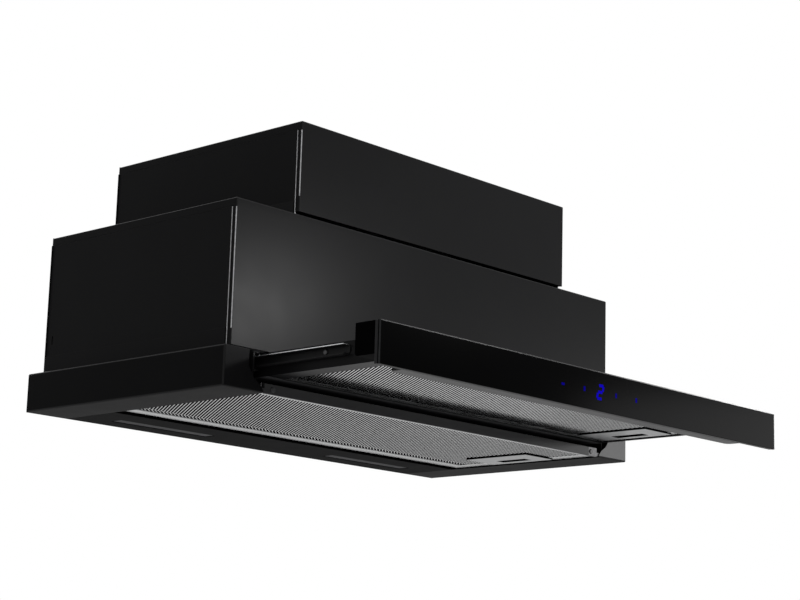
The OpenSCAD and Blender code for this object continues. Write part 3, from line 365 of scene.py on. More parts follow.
def casing(half, low, high, top_opening):
    """A folded front and top, open below and behind, with its return flanges."""
    bm = bmesh.new()
    bar(bm, (-half, CASE_SETBACK, low), (half, BACK_FACE, high))
    drop_faces(bm, lambda c: c.z < low + 0.1 or c.y > BACK_FACE - 0.1)
    ease(bm, sharp_edges(bm), CASE_FOLD, 4, 1)
    cut(bm, (0, 0, low + FOLD_HIGHLIGHT_LOW), (0, 0, 1))
    cut(bm, (0, 0, high - FOLD_HIGHLIGHT_HIGH), (0, 0, 1))
    # A corner fold's middle stretch takes the bright steel as a painted highlight, and the faces
    # that look sideways take the side coat's painted shade.
    for face in bm.faces:
        middle = face.calc_center_median()
        if face.material_index and low + FOLD_HIGHLIGHT_LOW < middle.z < high - FOLD_HIGHLIGHT_HIGH:
            highlighted = min(abs(face.normal.x), abs(face.normal.y)) > 0.4
            face.material_index = casing_finishes.index(cut_steel_and_painted_highlight if highlighted else black_coat)
        if abs(face.normal.x) > 0.95:
            face.material_index = casing_finishes.index(side_face_painted_shade)
    cut(bm, (0, JOGGLE, 0), (0, 1, 0))
    cut(bm, (0, 0, high - SKIRT), (0, 0, 1))
    drop_faces(bm, lambda c: abs(c.x) > half - 0.2 and c.y > JOGGLE and c.z < high - SKIRT)
    top_opening(bm)
    thicken(bm, SHEET)
    for side in (-1, 1):
        inner = side * (half - 1.5 * SHEET)
        eased_bar(bm, (inner - SHEET / 2, CASE_SETBACK + SHEET, low),
                  (inner + SHEET / 2, CASE_SETBACK + SHEET + RETURN_DEPTH, high - SHEET),
                  THIN_EDGE)
        eased_bar(bm, (side * (half - JOGGLE_OUT - SHEET), CASE_SETBACK + SHEET, low),
                  (side * (half - JOGGLE_OUT), JOGGLE, high - SHEET), THIN_EDGE)
    bmesh.ops.recalc_face_normals(bm, faces=bm.faces)
    return bm


def square_opening(half, front, back):
    """Opens the top for the upper casing."""
    def opening(bm):
        for where, across in (((-half, 0, 0), (1, 0, 0)), ((half, 0, 0), (1, 0, 0)),
                              ((0, front, 0), (0, 1, 0)), ((0, back, 0), (0, 1, 0))):
            cut(bm, where, across, [f for f in bm.faces if f.normal.z ** 2 > 0.99])
        drop_faces(bm, lambda c: abs(c.x) < half and front < c.y < back)
    return opening


def round_opening(middle_x, middle_y, radius, room, sides):
    """Opens the top with a round hole, joined to the sheet by a ring of faces."""
    def opening(bm):
        for offset, across in ((-room, 0), (room, 0), (-room, 1), (room, 1)):
            normal = (1, 0, 0) if across == 0 else (0, 1, 0)
            where = (middle_x + offset, middle_y + offset, 0)
            cut(bm, where, normal, [f for f in bm.faces if f.normal.z ** 2 > 0.99])
        plate = [f for f in bm.faces if abs(f.calc_center_median().x - middle_x) < room
                 and abs(f.calc_center_median().y - middle_y) < room and f.normal.z ** 2 > 0.99]
        height = plate[0].calc_center_median().z
        border = once_each(e for f in plate for e in f.edges
                           if sum(g in plate for g in e.link_faces) == 1)
        bmesh.ops.delete(bm, geom=plate, context="FACES")
        border = [e for e in border if e.is_valid]
        bmesh.ops.subdivide_edges(bm, edges=border, cuts=sides // 4 - 1)
        rim = [e for e in bm.edges if e.is_boundary and all(
            abs(v.co.z - height) < 0.1
            and max(abs(v.co.x - middle_x), abs(v.co.y - middle_y)) < room + 0.1
            for v in e.verts)]
        ring = bmesh.ops.create_circle(bm, segments=sides, radius=radius, cap_ends=False,
                                       matrix=Matrix.Translation((middle_x, middle_y, height)))
        ring_edges = once_each(e for v in ring["verts"] for e in v.link_edges)
        bmesh.ops.bridge_loops(bm, edges=rim + ring_edges)
    return opening


TOP_HOLE_HALF = 199.0
TOP_HOLE_FRONT = 16.0
TOP_HOLE_BACK = 282.0
LOWER_HALF = 280.0
LOWER_BOTTOM = 42.0
LOWER_TOP = 179.0
UPPER_HALF = 201.0
UPPER_BOTTOM = 182.0
UPPER_TOP = 271.0
UPPER_UPSTAND = 14.0
bm = casing(LOWER_HALF, LOWER_BOTTOM, LOWER_TOP,
            square_opening(TOP_HOLE_HALF, TOP_HOLE_FRONT, TOP_HOLE_BACK))
for side in (-1, 1):
    upstand_x = side * (UPPER_HALF + SHEET / 2)
    eased_bar(bm, (upstand_x - SHEET / 2, UPSTAND_FRONT, LOWER_TOP - SHEET),
              (upstand_x + SHEET / 2, BACK_FACE, LOWER_TOP + UPPER_UPSTAND), CUT_EDGE)
piece(bm, "lower_casing", "housing", casing_finishes, ("lower_shell",))

DUCT_Y = 190.0
DUCT_HOLE = 70.2
DUCT_ROOM = 84.0  # half the square of sheet in which the hole is cut
bm = casing(UPPER_HALF, UPPER_BOTTOM, UPPER_TOP,
            round_opening(0.0, DUCT_Y, DUCT_HOLE, DUCT_ROOM, 64))
piece(bm, "upper_casing", "housing", casing_finishes, ("upper_shell",))

PLATE_CORNER = 0.5  # the rounded edge of a side plate at the joggle: its bare cut edge, with a painted highlight
for level in ("lower", "upper"):
    for hand in ("left", "right"):
        bm = node_copy(f"{level}_side_{hand}")
        front = min(v.co.y for v in bm.verts)
        outer = max(abs(v.co.x) for v in bm.verts)
        ease(bm, [e for e in sharp_edges(bm) if all(
            v.co.y < front + 0.01 and abs(v.co.x) > outer - 0.01 for v in e.verts)], PLATE_CORNER)
        ease(bm, sharp_edges(bm), 0.15, 2, 1)
        # The rounded front edge takes the bright steel: the plate's bare cut edge, with a painted
        # highlight on it.
        for face in bm.faces:
            if face.calc_center_median().y < front + PLATE_CORNER:
                face.material_index = 2
        piece(bm, f"{level}_plate_{hand}", "housing",
              (side_face_painted_shade, fold_painted_highlight, cut_steel_and_painted_highlight), (f"{level}_side_{hand}",))
eased_copy("back_panel", "rear_sheet", "housing", (side_face_painted_shade, fold_painted_highlight), CUT_EDGE)

# ---------------------------------------------------------------- lights
# A folded steel strip closes the base behind the filter. Two milky lenses are snapped into its
# windows from above, each under a circuit strip with light chips.

SHADED_EDGE = 210.0  # in front of this line, the strip's front edge takes the unlit black as painted shade
STRIP_END_X = 249.2
# Painted shade: a darker copy of the coat with almost no sheen, for the strip behind the filter.
light_strip_painted_shade = powder_coat("painted_shade_light_strip", (0.0030, 0.0030, 0.0033), 0.46, 0.0028)
bm = node_copy("light_panel")
ease(bm, sharp_edges(bm), CUT_EDGE)
cut(bm, (0, SHADED_EDGE, 0), (0, 1, 0))
for face in bm.faces:
    middle = face.calc_center_median()
    # the front edge and the ends, beside the gaps, take the unlit black as painted shade
    if middle.y < SHADED_EDGE or abs(middle.x) > STRIP_END_X:
        face.material_index = 1
piece(bm, "light_strip", "housing", (light_strip_painted_shade, matt_black), ("light_panel",))
lens_plastic, tree, shader, place = new_finish(
    "milky_lens", (0.10, 0.10, 0.105), 0.42, 0.0, 0.0115)
shader.inputs["Subsurface Weight"].default_value = 0.2
shader.inputs["Subsurface Radius"].default_value = (0.002, 0.002, 0.002)
tint(tree, shader, cloud(tree, place, 60.0), (0.055, 0.055, 0.058), (0.075, 0.075, 0.078))
grain(tree, shader, cloud(tree, place, 700.0), 0.01)
for hand in ("left", "right"):
    eased_copy(f"light_lens_{hand}", f"lens_{hand}", "housing", lens_plastic, THIN_EDGE)

board_green, tree, shader, place = new_finish("circuit_board", (0.02, 0.10, 0.05), 0.4)
tint(tree, shader, cloud(tree, place, 160.0, 6.0, (3, 1, 1)),
     (0.012, 0.07, 0.035), (0.03, 0.14, 0.07))
dress("light_boards", board_green)
dress("touch_board", board_green)

# ---------------------------------------------------------------- slides
# Each side of the drawer runs on a telescopic slide: a fixed C member on a zinc bracket, a
# moving C member screwed to the tray, and two rows of steel balls in a pressed cage.

RUBBED_AND_HIGHLIGHT_LIP = 0.6  # the runner's top lip is bright zinc: partly rubbed bare, partly a painted highlight
SLIDE_EDGE = 0.12
slide_coat = powder_coat("black_slide_coat", (0.0080, 0.0080, 0.0084), 0.42, 0.07)
for hand in ("left", "right"):
    eased_copy(f"slide_bracket_{hand}", f"bracket_{hand}", "housing",
               slide_coat, THIN_EDGE)
    eased_copy(f"slide_outer_{hand}", f"fixed_rail_{hand}", "housing",
               slide_coat, SLIDE_EDGE)
    bm = node_copy(f"slide_inner_{hand}")
    top = max(v.co.z for v in bm.verts)
    ease(bm, sharp_edges(bm), SLIDE_EDGE)
    cut(bm, (0, 0, top - RUBBED_AND_HIGHLIGHT_LIP), (0, 0, 1))
    for face in bm.faces:
        if face.calc_center_median().z > top - RUBBED_AND_HIGHLIGHT_LIP:
            face.material_index = 1
    piece(bm, f"runner_{hand}", "drawer", (slide_coat, zinc),
          (f"slide_inner_{hand}",))
    dress(f"slide_cage_{hand}", black_zinc)

# A narrow zinc tab, bent twice over the left cheek's edge, stops the drawer.
TAB_BEND = ((-0.6, 32.9), (2.6, 34.4), (5.4, 33.8), (9.5, 32.7))  # y and z of its folds
TAB_LEFT = -254.6
TAB_RIGHT = -253.4
TAB_SHEET = 0.6
bm = bmesh.new()
for (y_low, z_low), (y_high, z_high) in zip(TAB_BEND, TAB_BEND[1:]):
    length = math.dist((y_low, z_low), (y_high, z_high))
    leaf = bar(bm, (TAB_LEFT, 0, -TAB_SHEET / 2), (TAB_RIGHT, length, TAB_SHEET / 2))
    turn = Matrix.Rotation(math.atan2(z_high - z_low, y_high - y_low), 3, "X")
    bmesh.ops.rotate(bm, cent=(0, 0, 0), matrix=turn, verts=leaf)
    bmesh.ops.translate(bm, vec=(0, y_low, z_low), verts=leaf)
ease(bm, sharp_edges(bm), 0.1)
piece(bm, "stop_tab", "housing", zinc)

steel, tree, shader, place = new_finish("polished_steel", (0.62, 0.62, 0.64), 0.12, 1.0)
gloss(tree, shader, cloud(tree, place, 500.0), 0.08, 0.2)
tint(tree, shader, cloud(tree, place, 90.0), (0.56, 0.56, 0.58), (0.68, 0.68, 0.70))
for node in ("slide_balls_left", "slide_balls_right", "motor_shaft"):
    dress(node, steel)
dress("flap_pin", dull_zinc)

# ---------------------------------------------------------------- fan
# A squirrel-cage wheel runs in a two-part scroll that blows up into the collar. The motor sits
# on a three-armed plate outside the scroll's left wall; the air enters by the right one.

grey_plastic, tree, shader, place = new_finish("grey_moulding", (0.16, 0.165, 0.17), 0.45)
tint(tree, shader, cloud(tree, place, 25.0), (0.14, 0.145, 0.15), (0.19, 0.195, 0.2))
grain(tree, shader, cloud(tree, place, 1200.0, 2.0), 0.02)
for node in ("scroll_left", "scroll_right", "fan_wheel"):
    dress(node, grey_plastic)
for node in ("motor_case", "motor_mount", "switch_lever"):
    dress(node, zinc)

bronze, tree, shader, place = new_finish("sintered_bronze", (0.45, 0.30, 0.15), 0.4, 1.0)
tint(tree, shader, cloud(tree, place, 800.0), (0.36, 0.23, 0.11), (0.52, 0.36, 0.19))
dress("motor_bearings", bronze)

# The control box beside the motor and the drawer's switch are moulded in grained black plastic.
black_plastic, tree, shader, place = new_finish(
    "grained_black_plastic", (0.012, 0.012, 0.013), 0.5, 0.0, 0.2)
tint(tree, shader, cloud(tree, place, 40.0), (0.009, 0.009, 0.0095), (0.015, 0.015, 0.016))
gloss(tree, shader, cloud(tree, place, 150.0), 0.44, 0.56)
grain(tree, shader, cloud(tree, place, 1500.0, 1.0), 0.03)
MOULDED_EDGE = 0.8
COLLAR_EDGE = 0.4
eased_copy("control_box", "control_housing", "housing",
           black_plastic, MOULDED_EDGE, 3)
eased_copy("switch_body", "switch_housing", "housing", black_plastic, CUT_EDGE)

# ---------------------------------------------------------------- duct collar and gland
# A moulded collar for the duct is screwed on top over two damper flaps on a steel pin, which
# the fan's air lifts. The cable's gland stands behind it.

eased_copy("duct_collar", "collar", "housing", black_plastic, COLLAR_EDGE)
eased_copy("flap_front", "damper_front", "flap_front", black_plastic, THIN_EDGE)
eased_copy("flap_rear", "damper_rear", "flap_rear", black_plastic, THIN_EDGE)
eased_copy("cable_gland", "gland", "housing", black_plastic, COLLAR_EDGE)

# ---------------------------------------------------------------- filters
# Each grease filter is a cassette of rolled aluminium: a folded frame round a face of slit and
# stretched mesh, with folded mesh layers behind it and a sliding latch at the right.

aluminium, tree, shader, place = new_finish("rolled_aluminium", (0.51, 0.515, 0.52), 0.26, 1.0)
tint(tree, shader, cloud(tree, place, 120.0, 4.0, (0.08, 1, 1)),
     (0.45, 0.455, 0.46), (0.57, 0.575, 0.58))
gloss(tree, shader, cloud(tree, place, 500.0, 3.0, (0.05, 1, 1)), 0.20, 0.32)
grain(tree, shader, cloud(tree, place, 1600.0, 2.0, (0.04, 1, 1)), 0.01)
plate_metal, tree, shader, place = new_finish(
    "pressed_latch_plate", (0.34, 0.345, 0.35), 0.3, 1.0)
tint(tree, shader, cloud(tree, place, 120.0, 4.0, (0.08, 1, 1)),
     (0.30, 0.305, 0.31), (0.38, 0.385, 0.39))
mesh_metal, tree, shader, place = new_finish(
    "stretched_aluminium", (0.59, 0.595, 0.60), 0.17, 1.0)
tint(tree, shader, cloud(tree, place, 70.0), (0.545, 0.55, 0.555), (0.63, 0.635, 0.64))
gloss(tree, shader, cloud(tree, place, 300.0), 0.14, 0.21)
# Painted shade: a dark, unreflecting copy of the aluminium for the narrow strands turned from the
# light and for the mesh's cut walls.
strand_painted_shade, tree, shader, place = new_finish(
    "turned_strands_painted_shade", (0.03, 0.03, 0.031), 0.6, 0.0, 0.0)
tint(tree, shader, cloud(tree, place, 70.0), (0.02, 0.02, 0.021), (0.04, 0.04, 0.041))
# Painted shade: a dark, unreflecting copy of the folded mesh for its faces turned down, so the
# gaps between the strands look dark.
core_painted_shade, tree, shader, place = new_finish("core_mesh_painted_shade", (0.01, 0.01, 0.011), 0.7, 0.0, 0.0)
tint(tree, shader, cloud(tree, place, 600.0, 4.0), (0.004, 0.004, 0.0042), (0.014, 0.014, 0.0145))
grain(tree, shader, cloud(tree, place, 500.0, 3.0), 0.3)
core_back, tree, shader, place = new_finish(
    "core_mesh_seen_from_above", (0.2, 0.2, 0.205), 0.5, 0.8)
tint(tree, shader, cloud(tree, place, 500.0, 4.0), (0.10, 0.10, 0.102), (0.30, 0.30, 0.305))
grain(tree, shader, cloud(tree, place, 500.0, 3.0), 0.3)

# The mesh repeats along its two strands: each vector leads from one opening to the next.
STRAND_A = Vector((5.78, 3.21, 0))
STRAND_B = Vector((3.93, 6.18, 0))
WIDE_STRAND = 0.25  # of the way to the next opening
NARROW_STRAND = 0.08
REAR_DIP = 0.24  # the wide strands are turned by the stretching, so one edge hangs lower
FRONT_DIP = 0.30
MESH_SHEET = 0.25
MESH_HEIGHT = 0.9  # above the cassette's underside
# The frame's strips round the mesh.
FRONT_STRIP = 8.0
LEFT_STRIP = 4.0
STRIP_WIDTH = 16.0
# The perforated band beside the rear filter's back strip.
BAND_HEIGHT = 0.95
BAND_RIM = 0.4
BAND_SLOT_END = 16.6
BAND_END = 14.0
BAND_OVERRUN = 18.0
SLOT_PITCH = 4.73
SLOT_BRIDGE = 1.3
SLOT_LEAN = 1.075  # the slots lean this far per millimetre
# The latch plate and the flat core sheet beside it.
MOUTH_REACH = 58.0  # the mesh's cut-out for the plate, from the cassette's right end
MOUTH_HALF = 45.0
PLATE_HALF = 42.2
PLATE_REACH = 55.2
PLATE_DROP = 1.1  # the plate hangs this far below the frame's underside
PAD_HEIGHT = 2.0
PAD_SHEET = 0.5
PAD_INSET = 1.5


def trim(bm, *planes):
    """Cuts off what lies beyond each plane, which is given as a place and a direction outward."""
    for where, across in planes:
        bmesh.ops.bisect_plane(bm, geom=everything(bm), dist=1e-5, plane_co=where,
                               plane_no=across, clear_outer=True)


def lattice(bm, low, high, z, dip):
    """A sheet of slanted openings over a rectangle, drawn as a skewed grid and trimmed to it."""
    span = STRAND_A.x * STRAND_B.y - STRAND_A.y * STRAND_B.x
    corners = [Vector((x, y, 0)) for x in (low[0], high[0]) for y in (low[1], high[1])]
    along_a = [(c.x * STRAND_B.y - c.y * STRAND_B.x) / span for c in corners]
    along_b = [(c.y * STRAND_A.x - c.x * STRAND_A.y) / span for c in corners]
    a0, a1 = math.floor(min(along_a)), math.ceil(max(along_a))
    b0, b1 = math.floor(min(along_b)), math.ceil(max(along_b))
    bmesh.ops.create_grid(bm, x_segments=2 * (a1 - a0), y_segments=2 * (b1 - b0), size=0.5)
    for vert in bm.verts:
        a = round((vert.co.x + 0.5) * 2 * (a1 - a0))
        b = round((vert.co.y + 0.5) * 2 * (b1 - b0))
        along_a = a0 + a // 2 + (a % 2) * WIDE_STRAND
        along_b = b0 + b // 2 + (b % 2) * NARROW_STRAND
        vert.co = STRAND_A * along_a + STRAND_B * along_b + Vector((0, 0, z - (a % 2) * dip))
    bm.faces.ensure_lookup_table()
    gone = []
    for face in bm.faces:
        c = face.calc_center_median()
        a = (c.x * STRAND_B.y - c.y * STRAND_B.x) / span
        b = (c.y * STRAND_A.x - c.x * STRAND_A.y) / span
        if a - math.floor(a) > WIDE_STRAND and b - math.floor(b) > NARROW_STRAND:
            gone.append(face)
        # the narrow strands, turned from the light, take the second finish: painted shade
        elif a - math.floor(a) > WIDE_STRAND:
            face.material_index = 1
    bmesh.ops.delete(bm, geom=gone, context="FACES")
    trim(bm, ((low[0], 0, 0), (-1, 0, 0)), ((high[0], 0, 0), (1, 0, 0)),
         ((0, low[1], 0), (0, -1, 0)), ((0, high[1], 0), (0, 1, 0)))


def stamped_sheet(bm):
    """Gives a sheet with openings its thickness, and its cut walls the second finish, a painted
    shade.
    """
    bmesh.ops.recalc_face_normals(bm, faces=bm.faces)
    bmesh.ops.solidify(bm, geom=list(bm.faces), thickness=MESH_SHEET)
    bm.normal_update()
    for face in bm.faces:
        if abs(face.normal.z) < 0.5:
            face.material_index = 1


def perforated_band(x0, x1, y1, z, mesh_end):
    """A row of leaning slots between the mesh and the back strip."""
    bm = bmesh.new()
    run = x1 - x0 + 2 * BAND_OVERRUN
    bmesh.ops.create_grid(bm, x_segments=int(run / SLOT_PITCH), y_segments=3, size=0.5)
    levels = (y1 - mesh_end, y1 - mesh_end + BAND_RIM, y1 - BAND_SLOT_END, y1 - BAND_END)
    for vert in bm.verts:
        y = levels[round((vert.co.y + 0.5) * 3)]
        lean = SLOT_LEAN * (y - y1 + mesh_end)
        x = x0 - BAND_OVERRUN + (vert.co.x + 0.5) * run + lean
        vert.co = Vector((x, y, z + BAND_HEIGHT))
    slots = [f for f in bm.faces if levels[1] < f.calc_center_median().y < levels[2]]
    bmesh.ops.inset_individual(bm, faces=slots, thickness=SLOT_BRIDGE / 2, depth=0.0)
    bmesh.ops.delete(bm, geom=slots, context="FACES_ONLY")
    trim(bm, ((x0 + LEFT_STRIP, 0, 0), (-1, 0, 0)), ((x1 - STRIP_WIDTH, 0, 0), (1, 0, 0)))
    stamped_sheet(bm)
    return bm


def filter_pieces(hand, body, low, high, z, latch_y, out, left_strip, mesh_end, dip):
    """The pieces of one cassette. Low and high are its corners, z is its underside."""
    prefix = f"{hand}_filter"
    x0, y0 = low
    x1, y1 = high
    banded = mesh_end > STRIP_WIDTH

    bm = node_copy(f"{prefix}_frame")
    for vert in bm.verts:
        if abs(vert.co.x - x0 - LEFT_STRIP) < 0.05:
            vert.co.x = x0 + left_strip
        if not banded and abs(vert.co.y - y1 - out + STRIP_WIDTH) < 0.05:
            vert.co.y = y1 + out - mesh_end
    ease(bm, sharp_edges(bm), CUT_EDGE)
    finishes = (aluminium, black_zinc, painted_shade_grey, mesh_metal)
    for face in bm.faces:
        middle = face.calc_center_median()
        if middle.x < x0 - 0.1 or (face.normal.y < -0.9 and middle.y < y0 + out + 1.0):
            face.material_index = finishes.index(black_zinc)
        # under the front cassette's back strip, the painted shade grey stands in for the shade by
        # the rail
        elif not banded and middle.y > y1 + out - mesh_end and face.normal.z < -0.5:
            face.material_index = finishes.index(painted_shade_grey)
        elif middle.x > x1 - STRIP_WIDTH and face.normal.z < -0.5:
            face.material_index = finishes.index(mesh_metal)
    piece(bm, f"{hand}_cassette", body, finishes, (f"{prefix}_frame",))

    bm = bmesh.new()
    mouth_x = x1 - MOUTH_REACH
    mouth_front = latch_y - MOUTH_HALF
    mouth_back = latch_y + PLATE_HALF
    lattice(bm, (x0 + left_strip, y0 + FRONT_STRIP), (x1 - STRIP_WIDTH, y1 - mesh_end),
            z + MESH_HEIGHT, dip)
    cut(bm, (mouth_x, 0, 0), (1, 0, 0))
    cut(bm, (0, mouth_front, 0), (0, 1, 0))
    cut(bm, (0, mouth_back, 0), (0, 1, 0))
    drop_faces(bm, lambda c: c.x > mouth_x and mouth_front < c.y < mouth_back)
    stamped_sheet(bm)
    piece(bm, f"{hand}_mesh", body, (mesh_metal, strand_painted_shade),
          (f"{prefix}_mesh",), out)
    if banded:
        piece(perforated_band(x0, x1, y1, z, mesh_end), f"{hand}_perforated_band", body,
              (mesh_metal, strand_painted_shade), (), out)

    bm = node_copy(f"{prefix}_core")
    core_end = max(v.co.x for v in bm.verts) - 0.3
    frame_end = x1 - PAD_INSET
    for pad_low, pad_high, pad_end in (
            (y0 + PAD_INSET, latch_y - PLATE_HALF, frame_end),
            (latch_y - PLATE_HALF - 0.2, latch_y + PLATE_HALF + 0.2, x1 - PLATE_REACH),
            (latch_y + PLATE_HALF, y1 - PAD_INSET, frame_end)):
        bar(bm, (core_end, pad_low + out, z + PAD_HEIGHT),
            (pad_end, pad_high + out, z + PAD_HEIGHT + PAD_SHEET))
    # The faces turned up take the lighter metal; the rest the painted shade.
    for face in bm.faces:
        if face.normal.z > 0.2:
            face.material_index = 1
    piece(bm, f"{hand}_grease_core", body, (core_painted_shade, core_back),
          (f"{prefix}_core",))

    bm = node_copy(f"{hand}_latch_plate")
    bottom = min(v.co.z for v in bm.verts)
    for vert in bm.verts:
        if vert.co.z < bottom + 0.1:
            vert.co.z = z - PLATE_DROP
    # The recess's walls take the unlit black: a painted shadow in the groove round the plate.
    for face in bm.faces:
        face.material_index = 1 if abs(face.normal.z) < 0.5 else 0
    piece(bm, f"{hand}_latch_recess", body, (plate_metal, matt_black),
          (f"{hand}_latch_plate",))
    eased_copy(f"{hand}_latch", f"{hand}_latch_slider", f"{hand}_latch",
               matt_black, CUT_EDGE)


REAR_BAND = 28.5  # from the mesh's end to the cassette's back
FRONT_BACK_STRIP = 9.0
FRONT_LEFT_STRIP = 1.0
filter_pieces("rear", "rear_filter", (-249.0, 4.2), (249.5, 201.5), 1.3, 98.9, 0.0,
              LEFT_STRIP, REAR_BAND, REAR_DIP)
filter_pieces("front", "front_filter", (-229.0, 1.5), (246.5, 156.5), 16.3, 99.15, DRAWER_OUT,
              FRONT_LEFT_STRIP, FRONT_BACK_STRIP, FRONT_DIP)

# ---------------------------------------------------------------- drawer
# The tray that carries the front filter is a folded steel pan without a floor. In front of it a
# rolled channel with a rounded grip lip carries the glass, and a moulded cap closes each end.

TRAY_STRIP_Y = -4.5  # the tray's rear strip, behind this line, takes the painted shade grey
bm = node_copy("drawer_tray")
ease(bm, sharp_edges(bm), CUT_EDGE)
cut(bm, (0, TRAY_STRIP_Y, 0), (0, 1, 0))
for face in bm.faces:
    middle = face.calc_center_median()
    if face.normal.z < -0.9 and middle.y > TRAY_STRIP_Y - 0.5:
        face.material_index = 1
piece(bm, "tray", "drawer", (black_coat, painted_shade_grey), ("drawer_tray",))
eased_copy("grip_profile", "grip_channel", "drawer", grey_and_painted_light_coat, CUT_EDGE)
matt_plastic, tree, shader, place = new_finish(
    "matt_black_plastic", (0.0008, 0.0008, 0.0009), 0.5, 0.0, 0.003)
tint(tree, shader, cloud(tree, place, 40.0), (0.0006, 0.0006, 0.0007), (0.0011, 0.0011, 0.0012))
grain(tree, shader, cloud(tree, place, 1500.0, 1.0), 0.03)
for hand in ("left", "right"):
    eased_copy(f"end_cap_{hand}", f"panel_cap_{hand}", "drawer",
               matt_plastic, MOULDED_EDGE, 3)
eased_copy("panel_backing", "glass_carrier", "drawer", black_zinc, THIN_EDGE)

# ---------------------------------------------------------------- glass front
# A plate of 3.5 mm tempered glass, enamelled black behind, is bonded to the channel. Touch
# marks and one digit shine through it from the board behind.

GLASS_BOTTOM = 0.5
GLASS_TOP = 38.0
GLASS_FRONT = -29.93
GLASS_BACK = -26.5
GLASS_EDGE = 0.4
GROUND_WIDTH = 1.9
ARRIS = 1.0  # the width of the bevel ground on the front's top and right edges

black_glass, tree, shader, place = new_finish(
    "black_enamelled_glass", (0.0008, 0.0008, 0.0009), 0.13, 0.0, 0.007)
gloss(tree, shader, cloud(tree, place, 6.0), 0.12, 0.14)
tint(tree, shader, cloud(tree, place, 5.0), (0.0007, 0.0007, 0.0008), (0.0009, 0.0009, 0.001))
ground_edge, tree, shader, place = new_finish(
    "ground_glass_edge", (0.02, 0.021, 0.022), 0.35, 0.0, 0.08)
tint(tree, shader, cloud(tree, place, 250.0), (0.014, 0.015, 0.016), (0.026, 0.027, 0.028))
# Painted highlight: the arris's colour runs from black just left of the middle to near white
# towards the right end, for the light the bevel catches.
arris_painted_highlight, tree, shader, place = new_finish("polished_arris", (0.2, 0.2, 0.2), 0.4, 0.0, 0.1)
along = tree.nodes.new("ShaderNodeSeparateXYZ")
tree.links.new(place, along.inputs[0])
reach = tree.nodes.new("ShaderNodeMapRange")
reach.inputs["From Min"].default_value = -0.02
reach.inputs["From Max"].default_value = 0.24
tree.links.new(along.outputs["X"], reach.inputs["Value"])
tint(tree, shader, reach.outputs["Result"], (0.004, 0.004, 0.004), (0.62, 0.62, 0.62), 0.0, 1.0)

bm = bmesh.new()
bar(bm, (-HALF_WIDTH, GLASS_FRONT, GLASS_BOTTOM), (HALF_WIDTH, GLASS_BACK, GLASS_TOP))
ease(bm, sharp_edges(bm), GLASS_EDGE, 3)
cut(bm, (0, GLASS_FRONT + GROUND_WIDTH, 0), (0, 1, 0))
cut(bm, (0, 0, GLASS_TOP - ARRIS), (0, 0, 1))
cut(bm, (HALF_WIDTH - ARRIS, 0, 0), (1, 0, 0))
glass_finishes = (black_glass, ground_edge, arris_painted_highlight)
for face in bm.faces:
    middle = face.calc_center_median()
    bevelled = middle.z > GLASS_TOP - ARRIS or middle.x > HALF_WIDTH - ARRIS
    if bevelled and middle.y < GLASS_FRONT + 0.45:
        face.material_index = glass_finishes.index(arris_painted_highlight)
    elif abs(middle.x) > HALF_WIDTH - 0.3 and middle.y < GLASS_FRONT + GROUND_WIDTH:
        face.material_index = glass_finishes.index(ground_edge)
piece(bm, "glass_plate", "drawer", glass_finishes, ("glass_panel",), DRAWER_OUT)
dress("display_module", black_glass)


def lit(name, strength):
    """A blue light seen through the glass."""
    finish, tree, shader, place = new_finish(name, (0.001, 0.001, 0.02), 0.5, 0.0, 0.0)
    shader.inputs["Emission Color"].default_value = (0.01, 0.002, 1.0, 1)
    shader.inputs["Emission Strength"].default_value = strength
    tint(tree, shader, cloud(tree, place, 300.0), (0.001, 0.001, 0.02), (0.0015, 0.001, 0.03))
    return finish


digit_blue = lit("lit_digit", 0.44)
mark_blue = lit("lit_mark", 0.19)

MARK_Z = 18.5
MARK_PROUD = 0.05  # the lit marks stand this far before the glass
MARK_SUNK = 0.02
DIGIT_LEAN = 0.22
DIGIT_STROKE = 2.7
DIGIT_HALF = 3.2  # half the length of its level strokes
DIGIT_STEP = 6.2  # from one level stroke to the next
DIGIT_SIDE = 3.6
SIDE_LOW = 1.0
SIDE_HIGH = 5.9
TOUCH_MARKS = ((-56.0, 4.4, 2.2), (-24.0, 2.6, 4.4), (24.5, 2.2, 4.4), (56.5, 2.4, 4.4))


def stroke(bm, start, end, width):
    """A thin bar on the glass from start to end, in the front's own plane."""
    start, end = Vector((start[0], 0, start[1])), Vector((end[0], 0, end[1]))
    run = end - start
    made = bar(bm, (0, GLASS_FRONT - MARK_PROUD, -width / 2),
               (run.length, GLASS_FRONT + MARK_SUNK, width / 2))
    turn = Matrix.Rotation(-math.atan2(run.z, run.x), 3, "Y")
    bmesh.ops.rotate(bm, cent=(0, 0, 0), matrix=turn, verts=made)
    bmesh.ops.translate(bm, vec=start, verts=made)


bm = bmesh.new()
for level in (-DIGIT_STEP, 0.0, DIGIT_STEP):
    lean = level * DIGIT_LEAN
    stroke(bm, (-DIGIT_HALF + lean, MARK_Z + level), (DIGIT_HALF + lean, MARK_Z + level),
           DIGIT_STROKE)
stroke(bm, (DIGIT_SIDE + SIDE_LOW * DIGIT_LEAN, MARK_Z + SIDE_LOW),
       (DIGIT_SIDE + SIDE_HIGH * DIGIT_LEAN, MARK_Z + SIDE_HIGH), DIGIT_STROKE)
stroke(bm, (-DIGIT_SIDE - SIDE_HIGH * DIGIT_LEAN, MARK_Z - SIDE_HIGH),
       (-DIGIT_SIDE - SIDE_LOW * DIGIT_LEAN, MARK_Z - SIDE_LOW), DIGIT_STROKE)
piece(bm, "display_digit", "drawer", digit_blue, (), DRAWER_OUT)
bm = bmesh.new()
for mark_x, wide, high in TOUCH_MARKS:
    stroke(bm, (mark_x - wide / 2, MARK_Z), (mark_x + wide / 2, MARK_Z), high)
piece(bm, "touch_marks", "drawer", mark_blue, (), DRAWER_OUT)

